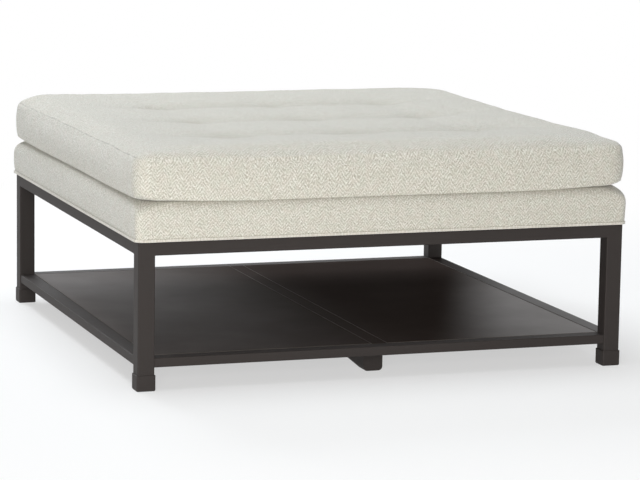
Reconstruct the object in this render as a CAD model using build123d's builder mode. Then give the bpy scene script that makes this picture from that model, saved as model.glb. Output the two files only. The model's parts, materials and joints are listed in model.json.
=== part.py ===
from build123d import *

import os

# Square ottoman coffee table: a welded steel base with a low shelf, an upholstered deck bolted
# on it, and a loose tufted cushion. Millimetres, +Z up, origin on the floor under the middle.

# Whole table
FRAME_SIDE = 1050.0  # across the legs' outer faces, both ways
FRAME_TOP = 301.0  # top of the steel base, where the deck lies
SHELF_TOP = 66.0

# Cuts and clearances
OVERRUN = 5.0  # every cut runs this far past what it cuts
SOFT_GAP = 0.3  # between the cushion and the deck
PLUG_GAP = 0.1  # each side, between a plug, pin or nut and its hole
SHEET_GAP = 0.5  # round the shelf's sheet trays

# Legs, their sleeves and glides
LEG_SIDE = 35.0
LEG_WALL = 2.0
LEG_CORNER = 2.5
SLEEVE_WALL = 2.0
SLEEVE_HEIGHT = 31.0
SLEEVE_CORNER = 3.0
SLEEVE_EASE = 0.9
GLIDE_PROUD = 1.0  # the nylon that shows under the steel
GLIDE_MARGIN = 1.0  # from the glide's rim to the sleeve's face
GLIDE_PLUG = 14.0

# Top frame
TOP_RAIL_HEIGHT = 28.0
TOP_RAIL_DEPTH = 28.0
TOP_RAIL_WALL = 2.0
TOP_RAIL_CORNER = 2.0
PLATE_THICKNESS = 4.0
PLATE_PAST_BOLT = 35.0  # along each rail, from the bolt to the gusset's tip
BOLT_FROM_RAIL = 15.0
BOLT_FROM_RAIL_END = 11.0  # from the end of the deck's side rail

# Shelf
SHELF_SETBACK = 2.0  # behind the legs' outer faces
SHELF_RAIL_HEIGHT = 19.0
SHELF_RAIL_WALL = 1.5
SHELF_RAIL_CORNER = 2.0
CENTRE_RAIL_WIDTH = 33.0
PANEL_SHEET = 1.5
PANEL_BEND = 2.0  # outer radius of the tray's folded edge
LEDGE_WIDTH = 12.0
LEDGE_THICKNESS = 2.5
LEDGE_END_GAP = 40.0

# Runner under the shelf's centre rail
RUNNER_WIDTH = 42.0
RUNNER_SETBACK = 72.0  # behind the legs' outer faces
RUNNER_PAD = 36.0  # flat stretch at each end
RUNNER_ARCH = 20.0  # rise of the underside at the middle
RUNNER_BEND = 9.0
RUNNER_WALL = 2.0
RUNNER_GLIDE_DIAMETER = 20.0
RUNNER_PEG_DIAMETER = 6.0
RUNNER_PEG_LENGTH = 5.0

# Deck frame and its filling
DECK_FRAME_SETBACK = 15.0  # behind the legs' outer faces
DECK_RAIL_WIDTH = 44.0
DECK_RAIL_HEIGHT = 50.0
CROSS_RAIL_SPACING = 310.0
BLOCK_REACH = 70.0
BLOCK_BELOW_BOARD = 6.0  # from the block's top up to the board
DUST_CLOTH = 1.0
BOARD_THICKNESS = 12.0
DECK_FOAM_THICKNESS = 15.0
DECK_FOAM_CORNER = 40.0
DECK_FOAM_ROUND = 13.0
DECK_CLOTH = 2.0

# Deck cover and its welt
DECK_OVERHANG = 11.5  # past the legs' outer faces, at the fullest
DECK_SEAT_INSET = 5.5  # from the fullest outline in to the welt's seat
DECK_ROLL_INSET = 46.5  # from the fullest outline in to the flat top
DECK_CORNER = 14.0
WELT_HEIGHT = 5.5
WELT_PROUD = 3.0
WELT_ROUND = 1.6

# Cushion
CUSHION_OVERHANG = 8.5  # past the legs' outer faces, at the fullest
UNDER_RISE = 14.7  # from the underside up to the lower seam
UNDER_INSET = 27.5
BOXING_HEIGHT = 68.0  # between the two seams
BOXING_INSET = 8.5
CROWN_RISE = 20.0  # from the upper seam to the crown
CROWN_REACH = 125.0
CUSHION_CORNER = 42.0
SIDE_DRAW_IN = 3.0  # how far each side is drawn in between its corners
BASE_CLOTH = 2.0
SIDE_WADDING = 33.5
CORE_CORNER = 40.0

# Tufts
TUFTS_ACROSS = 3
CHANNEL_WIDTH = 230.0
CHANNEL_DEPTH = 6.0
DIMPLE_WIDTH = 90.0
DIMPLE_DEPTH = 7.0
TUFT_COVER = 9.0  # wadding left over the core under a tuft
TIE_DIAMETER = 2.4
DISC_DIAMETER = 30.0
DISC_THICKNESS = 2.0

# Bolts, washers, tee nuts and board screws
BOLT_DIAMETER = 6.0
BOLT_HOLE_DIAMETER = 7.0
BOLT_HEAD_DIAMETER = 11.0
BOLT_HEAD_HEIGHT = 4.5
WASHER_DIAMETER = 14.0
WASHER_THICKNESS = 1.6
NUT_FLANGE_DIAMETER = 19.0
NUT_FLANGE = 1.5
NUT_BARREL_DIAMETER = 8.0
NUT_BARREL = 9.0
SCREW_DIAMETER = 4.0
SCREW_HEAD_DIAMETER = 8.0
SCREW_LENGTH = 35.0
SCREWS_PER_RAIL = 3
SCREW_PITCH = 300.0

# Soft outlines: shares of the rise, and of the inset, from the lowest ring to the highest
DECK_SIDE_SHARES = [(0.13, 0.04), (0.35, 0.0), (0.59, 0.04)]
DECK_ROLL_SHARES = [(0.78, 0.2), (0.9, 0.43), (0.972, 0.73), (1.0, 1.0)]
UNDER_SHARES = [(0.0, 1.0), (0.25, 0.6), (0.65, 0.24), (1.0, 0.09)]
BOXING_SHARES = [(0.24, 0.0), (0.53, 0.06), (0.82, 0.47), (1.0, 1.0)]
CROWN_SHARES = [(0.42, 0.11), (0.72, 0.29), (0.92, 0.6), (0.99, 0.9), (1.0, 1.0)]
CORNER_GROWTH_SHARE = 0.5  # of a ring's inset, added to its corner radius

# Places worked out from the sizes
FRAME_HALF = FRAME_SIDE / 2
LEG_CENTRE = FRAME_HALF - LEG_SIDE / 2
LEG_INNER = FRAME_HALF - LEG_SIDE
SLEEVE_SIDE = LEG_SIDE + 2 * SLEEVE_WALL
TOP_RAIL_INNER = FRAME_HALF - TOP_RAIL_DEPTH
TOP_RAIL_BOTTOM = FRAME_TOP - TOP_RAIL_HEIGHT
PLATE_BOTTOM = FRAME_TOP - PLATE_THICKNESS
SHELF_OUTER = FRAME_HALF - SHELF_SETBACK
SHELF_RAIL_DEPTH = LEG_SIDE - SHELF_SETBACK
SHELF_BOTTOM = SHELF_TOP - SHELF_RAIL_HEIGHT
LEDGE_BOTTOM = SHELF_BOTTOM + SHELF_RAIL_CORNER
LEDGE_TOP = LEDGE_BOTTOM + LEDGE_THICKNESS
RUNNER_HALF_LENGTH = FRAME_HALF - RUNNER_SETBACK
RUNNER_PAD_START = RUNNER_HALF_LENGTH - RUNNER_PAD
RUNNER_GLIDE_PLACE = RUNNER_HALF_LENGTH - RUNNER_PAD / 2
DECK_FRAME_HALF = FRAME_HALF - DECK_FRAME_SETBACK
DECK_FRAME_INNER = DECK_FRAME_HALF - DECK_RAIL_WIDTH
DECK_FRAME_BOTTOM = FRAME_TOP + DUST_CLOTH
BOARD_BOTTOM = DECK_FRAME_BOTTOM + DECK_RAIL_HEIGHT
FOAM_BOTTOM = BOARD_BOTTOM + BOARD_THICKNESS
FOAM_TOP = FOAM_BOTTOM + DECK_FOAM_THICKNESS
DECK_TOP = FOAM_TOP + DECK_CLOTH
DECK_COVER_HALF = FRAME_HALF + DECK_OVERHANG
WELT_SEAT_HALF = DECK_COVER_HALF - DECK_SEAT_INSET
WELT_TOP = FRAME_TOP + WELT_HEIGHT
BOLT_LINE = TOP_RAIL_INNER - BOLT_FROM_RAIL
BOLT_ALONG = DECK_FRAME_INNER - BOLT_FROM_RAIL_END
BOLT_HEAD_TOP = PLATE_BOTTOM - WASHER_THICKNESS
NUT_FLANGE_BOTTOM = BOARD_BOTTOM - NUT_FLANGE
NUT_BOTTOM = NUT_FLANGE_BOTTOM - NUT_BARREL
SCREW_LINE = DECK_FRAME_HALF - DECK_RAIL_WIDTH / 2
CUSHION_BOTTOM = DECK_TOP + SOFT_GAP
CUSHION_HALF = FRAME_HALF + CUSHION_OVERHANG
SEAM_LOW = CUSHION_BOTTOM + UNDER_RISE
SEAM_HIGH = SEAM_LOW + BOXING_HEIGHT
CUSHION_TOP = SEAM_HIGH + CROWN_RISE
CORE_HALF = CUSHION_HALF - SIDE_WADDING
CORE_BOTTOM = CUSHION_BOTTOM + BASE_CLOTH
TUFT_PITCH = FRAME_SIDE / (TUFTS_ACROSS + 1)
TUFT_BOTTOM = CUSHION_TOP - CHANNEL_DEPTH - DIMPLE_DEPTH
CORE_TOP = TUFT_BOTTOM - TUFT_COVER
DISC_TOP = CORE_BOTTOM + DISC_THICKNESS

# Which way each corner lies, and how far each side is turned from the front
CORNERS = {"front_left": (-1, -1), "front_right": (1, -1), "back_left": (-1, 1), "back_right": (1, 1)}
SIDES = {"front": 0, "right": 90, "back": 180, "left": 270}
HANDS = {"left": -1, "right": 1}

os.makedirs("parts", exist_ok=True)


def write(piece, node):
    """Labels one finished sub-part and writes it under its node's name."""
    piece.part.label = node
    export_step(piece.part, f"parts/{node}.step")


def side_plane(turn):
    """Upright plane through the middle: x runs out to the side that the turn names, y runs up."""
    outward = Vector(0, -1, 0).rotate(Axis.Z, turn)
    across = Vector(-1, 0, 0).rotate(Axis.Z, turn)
    return Plane(origin=(0, 0, 0), x_dir=outward, z_dir=across)


def tube_section(plane, outer, depth, top, height, corner, wall):
    """Section of a flat tube on a side's plane, its outer face and its top given."""
    with BuildSketch(plane) as section:
        with Locations((outer - depth / 2, top - height / 2)):
            RectangleRounded(depth, height, corner)
            Rectangle(depth - 2 * wall, height - 2 * wall, mode=Mode.SUBTRACT)
    return section.sketch


def bolt_places(corner):
    """The two bolts of one corner of the deck, one over each rail."""
    side_x, side_y = CORNERS[corner]
    over_front_rail = (side_x * BOLT_ALONG, side_y * BOLT_LINE)
    over_side_rail = (side_x * BOLT_LINE, side_y * BOLT_ALONG)
    return [over_front_rail, over_side_rail]


def all_bolt_places():
    """Every bolt of the deck."""
    return [place for corner in CORNERS for place in bolt_places(corner)]


def screw_places(turn):
    """The board's screws over one deck rail."""
    first = -(SCREWS_PER_RAIL - 1) / 2
    row = [Vector((first + step) * SCREW_PITCH, -SCREW_LINE) for step in range(SCREWS_PER_RAIL)]
    return [place.rotate(Axis.Z, turn) for place in row]


def all_screw_places():
    """Every screw of the deck board."""
    return [place for turn in SIDES.values() for place in screw_places(turn)]


def tuft_lines():
    """Where the rows of tufts run, counted both ways from the middle."""
    first = -(TUFTS_ACROSS - 1) / 2
    return [(first + row) * TUFT_PITCH for row in range(TUFTS_ACROSS)]


def tuft_places():
    """Every tuft of the cushion."""
    return [(x, y) for y in tuft_lines() for x in tuft_lines()]


def soft_ring(height, half, corner, draw_in):
    """One level outline of a padded piece: round corners, sides drawn in between them."""
    with BuildSketch(Plane.XY.offset(height)) as ring:
        with BuildLine():
            for quarter in range(4):
                turn = 90 * quarter
                low = Vector(half, corner - half).rotate(Axis.Z, turn)
                middle = Vector(half - draw_in, 0).rotate(Axis.Z, turn)
                high = Vector(half, half - corner).rotate(Axis.Z, turn)
                over = Vector(half - corner, half).rotate(Axis.Z, turn)
                centre = Vector(half - corner, half - corner)
                bend = (centre + Vector(corner, 0).rotate(Axis.Z, 45)).rotate(Axis.Z, turn)
                if draw_in > 0:
                    ThreePointArc(low, middle, high)
                else:
                    Line(low, high)
                ThreePointArc(high, bend, over)
        make_face()
    return ring.sketch


def hollow_radius(width, depth):
    """Radius of a round hollow of the given width and depth in a flat face."""
    return ((width / 2) ** 2 + depth**2) / (2 * depth)


# Legs: square tube, closed to a sharp edge where the rails are welded on and ground flush
for corner, (side_x, side_y) in CORNERS.items():
    with BuildPart() as leg:
        with BuildSketch(Plane((side_x * LEG_CENTRE, side_y * LEG_CENTRE, GLIDE_PROUD))):
            RectangleRounded(LEG_SIDE, LEG_SIDE, LEG_CORNER)
        extrude(amount=FRAME_TOP - GLIDE_PROUD)
        weld_side = LEG_CORNER
        weld_near = LEG_INNER + weld_side / 2
        weld_far = FRAME_HALF - weld_side / 2
        with BuildSketch(Plane.XY.offset(TOP_RAIL_BOTTOM)):
            with Locations((side_x * weld_near, side_y * weld_far), (side_x * weld_far, side_y * weld_near)):
                Rectangle(weld_side, weld_side)
        extrude(amount=TOP_RAIL_HEIGHT)
        with BuildSketch(Plane.XY.offset(SHELF_BOTTOM)):
            with Locations((side_x * weld_near, side_y * weld_near)):
                Rectangle(weld_side, weld_side)
        extrude(amount=SHELF_RAIL_HEIGHT)
        with BuildSketch(Plane((side_x * LEG_CENTRE, side_y * LEG_CENTRE, GLIDE_PROUD - OVERRUN))):
            Rectangle(LEG_SIDE - 2 * LEG_WALL, LEG_SIDE - 2 * LEG_WALL)
        extrude(amount=FRAME_TOP + 2 * OVERRUN, mode=Mode.SUBTRACT)
    write(leg, f"leg_{corner}")

    # Sleeve over the leg's end, with eased rims
    with BuildPart() as sleeve:
        with BuildSketch(Plane((side_x * LEG_CENTRE, side_y * LEG_CENTRE, GLIDE_PROUD))):
            RectangleRounded(SLEEVE_SIDE, SLEEVE_SIDE, SLEEVE_CORNER)
        extrude(amount=SLEEVE_HEIGHT)
        rims = sleeve.faces().sort_by(Axis.Z)
        fillet(rims[0].edges() + rims[-1].edges(), radius=SLEEVE_EASE)
        with BuildSketch(Plane((side_x * LEG_CENTRE, side_y * LEG_CENTRE, GLIDE_PROUD - OVERRUN))):
            RectangleRounded(LEG_SIDE, LEG_SIDE, LEG_CORNER)
        extrude(amount=SLEEVE_HEIGHT + 2 * OVERRUN, mode=Mode.SUBTRACT)
    write(sleeve, f"foot_sleeve_{corner}")

    # Nylon glide: a thin foot under the steel and a plug up the tube
    with BuildPart() as glide:
        glide_side = SLEEVE_SIDE - 2 * GLIDE_MARGIN
        plug_side = LEG_SIDE - 2 * LEG_WALL - 2 * PLUG_GAP
        with BuildSketch(Plane((side_x * LEG_CENTRE, side_y * LEG_CENTRE, 0))):
            RectangleRounded(glide_side, glide_side, SLEEVE_CORNER)
        extrude(amount=GLIDE_PROUD)
        with BuildSketch(Plane((side_x * LEG_CENTRE, side_y * LEG_CENTRE, GLIDE_PROUD))):
            Rectangle(plug_side, plug_side)
        extrude(amount=GLIDE_PLUG)
    write(glide, f"leg_glide_{corner}")

    # Gusset across the top frame's corner, with the deck's two bolt holes
    with BuildPart() as corner_plate:
        with BuildSketch(Plane.XY.offset(PLATE_BOTTOM)):
            with BuildLine():
                tip = BOLT_ALONG - PLATE_PAST_BOLT
                Polyline(
                    (side_x * LEG_INNER, side_y * LEG_INNER),
                    (side_x * LEG_INNER, side_y * TOP_RAIL_INNER),
                    (side_x * tip, side_y * TOP_RAIL_INNER),
                    (side_x * TOP_RAIL_INNER, side_y * tip),
                    (side_x * TOP_RAIL_INNER, side_y * LEG_INNER),
                    close=True,
                )
            make_face()
            with Locations(*bolt_places(corner)):
                Circle(BOLT_HOLE_DIAMETER / 2, mode=Mode.SUBTRACT)
        extrude(amount=PLATE_THICKNESS)
    write(corner_plate, f"corner_plate_{corner}")

    # Glue block in the deck frame's corner
    with BuildPart() as corner_block:
        with BuildSketch(Plane.XY.offset(DECK_FRAME_BOTTOM)):
            with BuildLine():
                tip = DECK_FRAME_INNER - BLOCK_REACH
                Polyline(
                    (side_x * DECK_FRAME_INNER, side_y * DECK_FRAME_INNER),
                    (side_x * tip, side_y * DECK_FRAME_INNER),
                    (side_x * DECK_FRAME_INNER, side_y * tip),
                    close=True,
                )
            make_face()
        extrude(amount=DECK_RAIL_HEIGHT - BLOCK_BELOW_BOARD)
    write(corner_block, f"deck_corner_block_{corner}")

for side, turn in SIDES.items():
    # Top rail: flush with the legs' outer faces and tops
    plane = side_plane(turn)
    with BuildPart() as top_rail:
        section = tube_section(
            plane,
            FRAME_HALF,
            TOP_RAIL_DEPTH,
            FRAME_TOP,
            TOP_RAIL_HEIGHT,
            TOP_RAIL_CORNER,
            TOP_RAIL_WALL,
        )
        extrude(section, amount=LEG_INNER, both=True)
    write(top_rail, f"top_rail_{side}")

    # Shelf rail: a flat tube a little behind the legs' faces
    with BuildPart() as shelf_rail:
        section = tube_section(
            plane,
            SHELF_OUTER,
            SHELF_RAIL_DEPTH,
            SHELF_TOP,
            SHELF_RAIL_HEIGHT,
            SHELF_RAIL_CORNER,
            SHELF_RAIL_WALL,
        )
        extrude(section, amount=LEG_INNER, both=True)
    write(shelf_rail, f"shelf_rail_{side}")

    # Deck rail: front and back run through, the sides fit between them
    runs_through = side in ("front", "back")
    rail_half = DECK_FRAME_HALF if runs_through else DECK_FRAME_INNER
    with BuildPart() as deck_rail:
        with BuildSketch(plane):
            with Locations((DECK_FRAME_HALF - DECK_RAIL_WIDTH / 2, DECK_FRAME_BOTTOM + DECK_RAIL_HEIGHT / 2)):
                Rectangle(DECK_RAIL_WIDTH, DECK_RAIL_HEIGHT)
        extrude(amount=rail_half, both=True)
        with Locations(*[(x, y, BOARD_BOTTOM) for x, y in all_bolt_places()]):
            Hole(BOLT_HOLE_DIAMETER / 2)
        with BuildSketch(Plane.XY.offset(NUT_BOTTOM)):
            with Locations(*all_bolt_places()):
                Circle(NUT_BARREL_DIAMETER / 2 + PLUG_GAP)
        extrude(amount=NUT_BARREL + NUT_FLANGE + OVERRUN, mode=Mode.SUBTRACT)
        with BuildSketch(Plane.XY.offset(NUT_FLANGE_BOTTOM)):
            with Locations(*all_bolt_places()):
                Circle(NUT_FLANGE_DIAMETER / 2 + PLUG_GAP)
        extrude(amount=NUT_FLANGE + OVERRUN, mode=Mode.SUBTRACT)
        with BuildSketch(Plane.XY.offset(BOARD_BOTTOM)):
            with Locations(*screw_places(turn)):
                Circle(SCREW_DIAMETER / 2 + PLUG_GAP)
        extrude(amount=-SCREW_LENGTH, mode=Mode.SUBTRACT)
    write(deck_rail, f"deck_rail_{side}")

# Shelf's centre rail, from the front rail to the back one
with BuildPart() as centre_rail:
    section = tube_section(
        Plane.XZ,
        CENTRE_RAIL_WIDTH / 2,
        CENTRE_RAIL_WIDTH,
        SHELF_TOP,
        SHELF_RAIL_HEIGHT,
        SHELF_RAIL_CORNER,
        SHELF_RAIL_WALL,
    )
    extrude(section, amount=LEG_INNER, both=True)
write(centre_rail, "shelf_centre_rail")

for hand, side_x in HANDS.items():
    # Shelf panel: a sheet tray, folded down all round, flush with the rails
    panel_near = CENTRE_RAIL_WIDTH / 2 + SHEET_GAP
    panel_far = LEG_INNER - SHEET_GAP
    panel_width = panel_far - panel_near
    panel_length = 2 * panel_far
    panel_middle = side_x * (panel_near + panel_far) / 2
    with BuildPart() as panel:
        with BuildSketch(Plane((panel_middle, 0, LEDGE_TOP))):
            RectangleRounded(panel_width, panel_length, PANEL_BEND + PANEL_SHEET)
        extrude(amount=SHELF_TOP - LEDGE_TOP)
        fillet(panel.faces().sort_by(Axis.Z)[-1].edges(), radius=PANEL_BEND)
        with BuildSketch(Plane((panel_middle, 0, LEDGE_TOP - OVERRUN))):
            RectangleRounded(panel_width - 2 * PANEL_SHEET, panel_length - 2 * PANEL_SHEET, PANEL_BEND)
        extrude(amount=SHELF_TOP - PANEL_SHEET - LEDGE_TOP + OVERRUN, mode=Mode.SUBTRACT)
    write(panel, f"shelf_panel_{hand}")

    # Ledges: flat bars along the side rail and the centre rail
    ledge_middles = {
        "outer": LEG_INNER - LEDGE_WIDTH / 2,
        "inner": CENTRE_RAIL_WIDTH / 2 + LEDGE_WIDTH / 2,
    }
    for place, ledge_middle in ledge_middles.items():
        with BuildPart() as ledge:
            with BuildSketch(Plane((side_x * ledge_middle, 0, LEDGE_BOTTOM))):
                Rectangle(LEDGE_WIDTH, 2 * (LEG_INNER - LEDGE_END_GAP))
            extrude(amount=LEDGE_THICKNESS)
        write(ledge, f"shelf_ledge_{hand}_{place}")

    # Cross rail of the deck frame
    with BuildPart() as cross_rail:
        with BuildSketch(Plane((side_x * CROSS_RAIL_SPACING / 2, 0, DECK_FRAME_BOTTOM))):
            Rectangle(DECK_RAIL_WIDTH, 2 * DECK_FRAME_INNER)
        extrude(amount=DECK_RAIL_HEIGHT)
    write(cross_rail, f"deck_cross_rail_{hand}")


def runner_side(inset):
    """Side outline of the runner: flat pads at the ends and an arch between them."""
    low = GLIDE_PROUD + inset
    with BuildSketch(Plane.YZ) as outline:
        with BuildLine():
            ThreePointArc((-RUNNER_PAD_START, low), (0, low + RUNNER_ARCH), (RUNNER_PAD_START, low))
            Polyline(
                (RUNNER_PAD_START, low),
                (RUNNER_HALF_LENGTH + inset, low),
                (RUNNER_HALF_LENGTH + inset, SHELF_BOTTOM - inset),
                (-RUNNER_HALF_LENGTH - inset, SHELF_BOTTOM - inset),
                (-RUNNER_HALF_LENGTH - inset, low),
                (-RUNNER_PAD_START, low),
            )
        make_face()
    return outline.sketch


def under_edges(piece):
    """The two chains of edges along a runner's underside."""
    outer_chains = piece.edges().group_by(Axis.X)
    below = (outer_chains[0] + outer_chains[-1]).filter_by(lambda edge: edge.center().Z < SHELF_BOTTOM / 2)
    return below.filter_by(Axis.Z, reverse=True)


# Bore of the runner, longer than the runner so that it opens both ends
with BuildPart() as runner_bore:
    extrude(runner_side(RUNNER_WALL), amount=RUNNER_WIDTH / 2 - RUNNER_WALL, both=True)
    fillet(under_edges(runner_bore), radius=RUNNER_BEND - RUNNER_WALL)

# Runner: folded steel under the centre rail, rounded below, arched between its pads
with BuildPart() as runner:
    extrude(runner_side(0), amount=RUNNER_WIDTH / 2, both=True)
    fillet(under_edges(runner), radius=RUNNER_BEND)
    add(runner_bore.part, mode=Mode.SUBTRACT)
    with BuildSketch(Plane.XY):
        with Locations((0, -RUNNER_GLIDE_PLACE), (0, RUNNER_GLIDE_PLACE)):
            Circle(RUNNER_PEG_DIAMETER / 2 + PLUG_GAP)
    extrude(amount=GLIDE_PROUD + RUNNER_WALL + PLUG_GAP, mode=Mode.SUBTRACT)
write(runner, "centre_runner")

for end, facing in {"front": -1, "back": 1}.items():
    # Cap welded in the runner's end
    with BuildPart() as runner_cap:
        add(runner_bore.part)
        with BuildSketch(Plane.XZ.offset(-facing * (RUNNER_HALF_LENGTH - RUNNER_WALL / 2))):
            Rectangle(RUNNER_WIDTH, 2 * SHELF_TOP)
        extrude(amount=RUNNER_WALL / 2, both=True, mode=Mode.INTERSECT)
    write(runner_cap, f"runner_cap_{end}")

with BuildPart() as runner_glides:
    with BuildSketch(Plane.XY):
        with Locations((0, -RUNNER_GLIDE_PLACE), (0, RUNNER_GLIDE_PLACE)):
            Circle(RUNNER_GLIDE_DIAMETER / 2)
    extrude(amount=GLIDE_PROUD)
    with BuildSketch(Plane.XY.offset(GLIDE_PROUD)):
        with Locations((0, -RUNNER_GLIDE_PLACE), (0, RUNNER_GLIDE_PLACE)):
            Circle(RUNNER_PEG_DIAMETER / 2)
    extrude(amount=RUNNER_PEG_LENGTH)
write(runner_glides, "runner_glides")

# Dust cloth under the deck frame
with BuildPart() as dust_cover:
    with BuildSketch(Plane.XY.offset(FRAME_TOP)):
        Rectangle(2 * DECK_FRAME_HALF, 2 * DECK_FRAME_HALF)
        with Locations(*all_bolt_places()):
            Circle(BOLT_HOLE_DIAMETER / 2, mode=Mode.SUBTRACT)
    extrude(amount=DUST_CLOTH)
write(dust_cover, "dust_cover")

# Plywood board, countersunk for its screws
with BuildPart() as deck_board:
    with BuildSketch(Plane.XY.offset(BOARD_BOTTOM)):
        Rectangle(2 * DECK_FRAME_HALF, 2 * DECK_FRAME_HALF)
    extrude(amount=BOARD_THICKNESS)
    hole_radius = SCREW_DIAMETER / 2 + PLUG_GAP
    sink_radius = SCREW_HEAD_DIAMETER / 2 + PLUG_GAP
    with Locations(*[Vector(place.X, place.Y, FOAM_BOTTOM) for place in all_screw_places()]):
        CounterSinkHole(hole_radius, sink_radius, counter_sink_angle=90)
write(deck_board, "deck_board")

# Foam on the board, its corners and its upper edge softened
with BuildPart() as deck_foam:
    with BuildSketch(Plane.XY.offset(FOAM_BOTTOM)):
        RectangleRounded(2 * DECK_FRAME_HALF, 2 * DECK_FRAME_HALF, DECK_FOAM_CORNER)
    extrude(amount=DECK_FOAM_THICKNESS)
    fillet(deck_foam.faces().sort_by(Axis.Z)[-1].edges(), radius=DECK_FOAM_ROUND)
write(deck_foam, "deck_foam")

# Deck cover: straight where the welt lies, then full, then rolled over to the flat top
welt_seat_corner = DECK_CORNER + CORNER_GROWTH_SHARE * DECK_SEAT_INSET
with BuildPart() as deck_cover:
    extrude(soft_ring(FRAME_TOP, WELT_SEAT_HALF, welt_seat_corner, 0), amount=WELT_HEIGHT)
    rings = [soft_ring(WELT_TOP, WELT_SEAT_HALF, welt_seat_corner, 0)]
    for rise_share, inset_share in DECK_SIDE_SHARES + DECK_ROLL_SHARES:
        inset = inset_share * DECK_ROLL_INSET
        height = WELT_TOP + rise_share * (DECK_TOP - WELT_TOP)
        corner = DECK_CORNER + CORNER_GROWTH_SHARE * inset
        rings.append(soft_ring(height, DECK_COVER_HALF - inset, corner, 0))
    loft(rings)
    with BuildSketch(Plane.XY.offset(FRAME_TOP - OVERRUN)):
        Rectangle(2 * DECK_FRAME_HALF, 2 * DECK_FRAME_HALF)
    extrude(amount=FOAM_BOTTOM - FRAME_TOP + OVERRUN, mode=Mode.SUBTRACT)
    add(deck_foam.part, mode=Mode.SUBTRACT)
write(deck_cover, "deck_cover")

# Welt along the deck's lower edge
with BuildPart() as deck_welt:
    outline = soft_ring(FRAME_TOP, WELT_SEAT_HALF + WELT_PROUD, welt_seat_corner + WELT_PROUD, 0)
    extrude(outline, amount=WELT_HEIGHT)
    rims = deck_welt.faces().sort_by(Axis.Z)
    fillet(rims[0].edges() + rims[-1].edges(), radius=WELT_ROUND)
    seat = soft_ring(FRAME_TOP - OVERRUN, WELT_SEAT_HALF, welt_seat_corner, 0)
    extrude(seat, amount=WELT_HEIGHT + 2 * OVERRUN, mode=Mode.SUBTRACT)
write(deck_welt, "deck_welt")

# Mounting bolts with their washers and tee nuts
with BuildPart() as mounting_bolts:
    with BuildSketch(Plane.XY.offset(BOLT_HEAD_TOP - BOLT_HEAD_HEIGHT)):
        with Locations(*all_bolt_places()):
            Circle(BOLT_HEAD_DIAMETER / 2)
    extrude(amount=BOLT_HEAD_HEIGHT)
    with BuildSketch(Plane.XY.offset(BOLT_HEAD_TOP)):
        with Locations(*all_bolt_places()):
            Circle(BOLT_DIAMETER / 2)
    extrude(amount=NUT_FLANGE_BOTTOM - BOLT_HEAD_TOP)
write(mounting_bolts, "mounting_bolts")

with BuildPart() as mounting_washers:
    with BuildSketch(Plane.XY.offset(BOLT_HEAD_TOP)):
        with Locations(*all_bolt_places()):
            Circle(WASHER_DIAMETER / 2)
            Circle(BOLT_DIAMETER / 2 + PLUG_GAP, mode=Mode.SUBTRACT)
    extrude(amount=WASHER_THICKNESS)
write(mounting_washers, "mounting_washers")

with BuildPart() as tee_nuts:
    with BuildSketch(Plane.XY.offset(NUT_BOTTOM)):
        with Locations(*all_bolt_places()):
            Circle(NUT_BARREL_DIAMETER / 2)
    extrude(amount=NUT_BARREL)
    with BuildSketch(Plane.XY.offset(NUT_FLANGE_BOTTOM)):
        with Locations(*all_bolt_places()):
            Circle(NUT_FLANGE_DIAMETER / 2)
    extrude(amount=NUT_FLANGE)
    with BuildSketch(Plane.XY.offset(NUT_BOTTOM - OVERRUN)):
        with Locations(*all_bolt_places()):
            Circle(BOLT_DIAMETER / 2 + PLUG_GAP)
    extrude(amount=NUT_BARREL + NUT_FLANGE + 2 * OVERRUN, mode=Mode.SUBTRACT)
write(tee_nuts, "tee_nuts")

# One board screw, its head flush with the board, then all of them
with BuildPart() as screw:
    with BuildSketch(Plane.XZ):
        with BuildLine():
            shank = SCREW_DIAMETER / 2
            head = SCREW_HEAD_DIAMETER / 2
            Polyline(
                (0, FOAM_BOTTOM),
                (head, FOAM_BOTTOM),
                (shank, FOAM_BOTTOM - (head - shank)),
                (shank, FOAM_BOTTOM - SCREW_LENGTH + shank),
                (0, FOAM_BOTTOM - SCREW_LENGTH),
                close=True,
            )
        make_face()
    revolve(axis=Axis.Z)

with BuildPart() as deck_screws:
    with Locations(*all_screw_places()):
        add(screw.part)
write(deck_screws, "deck_screws")

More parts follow.
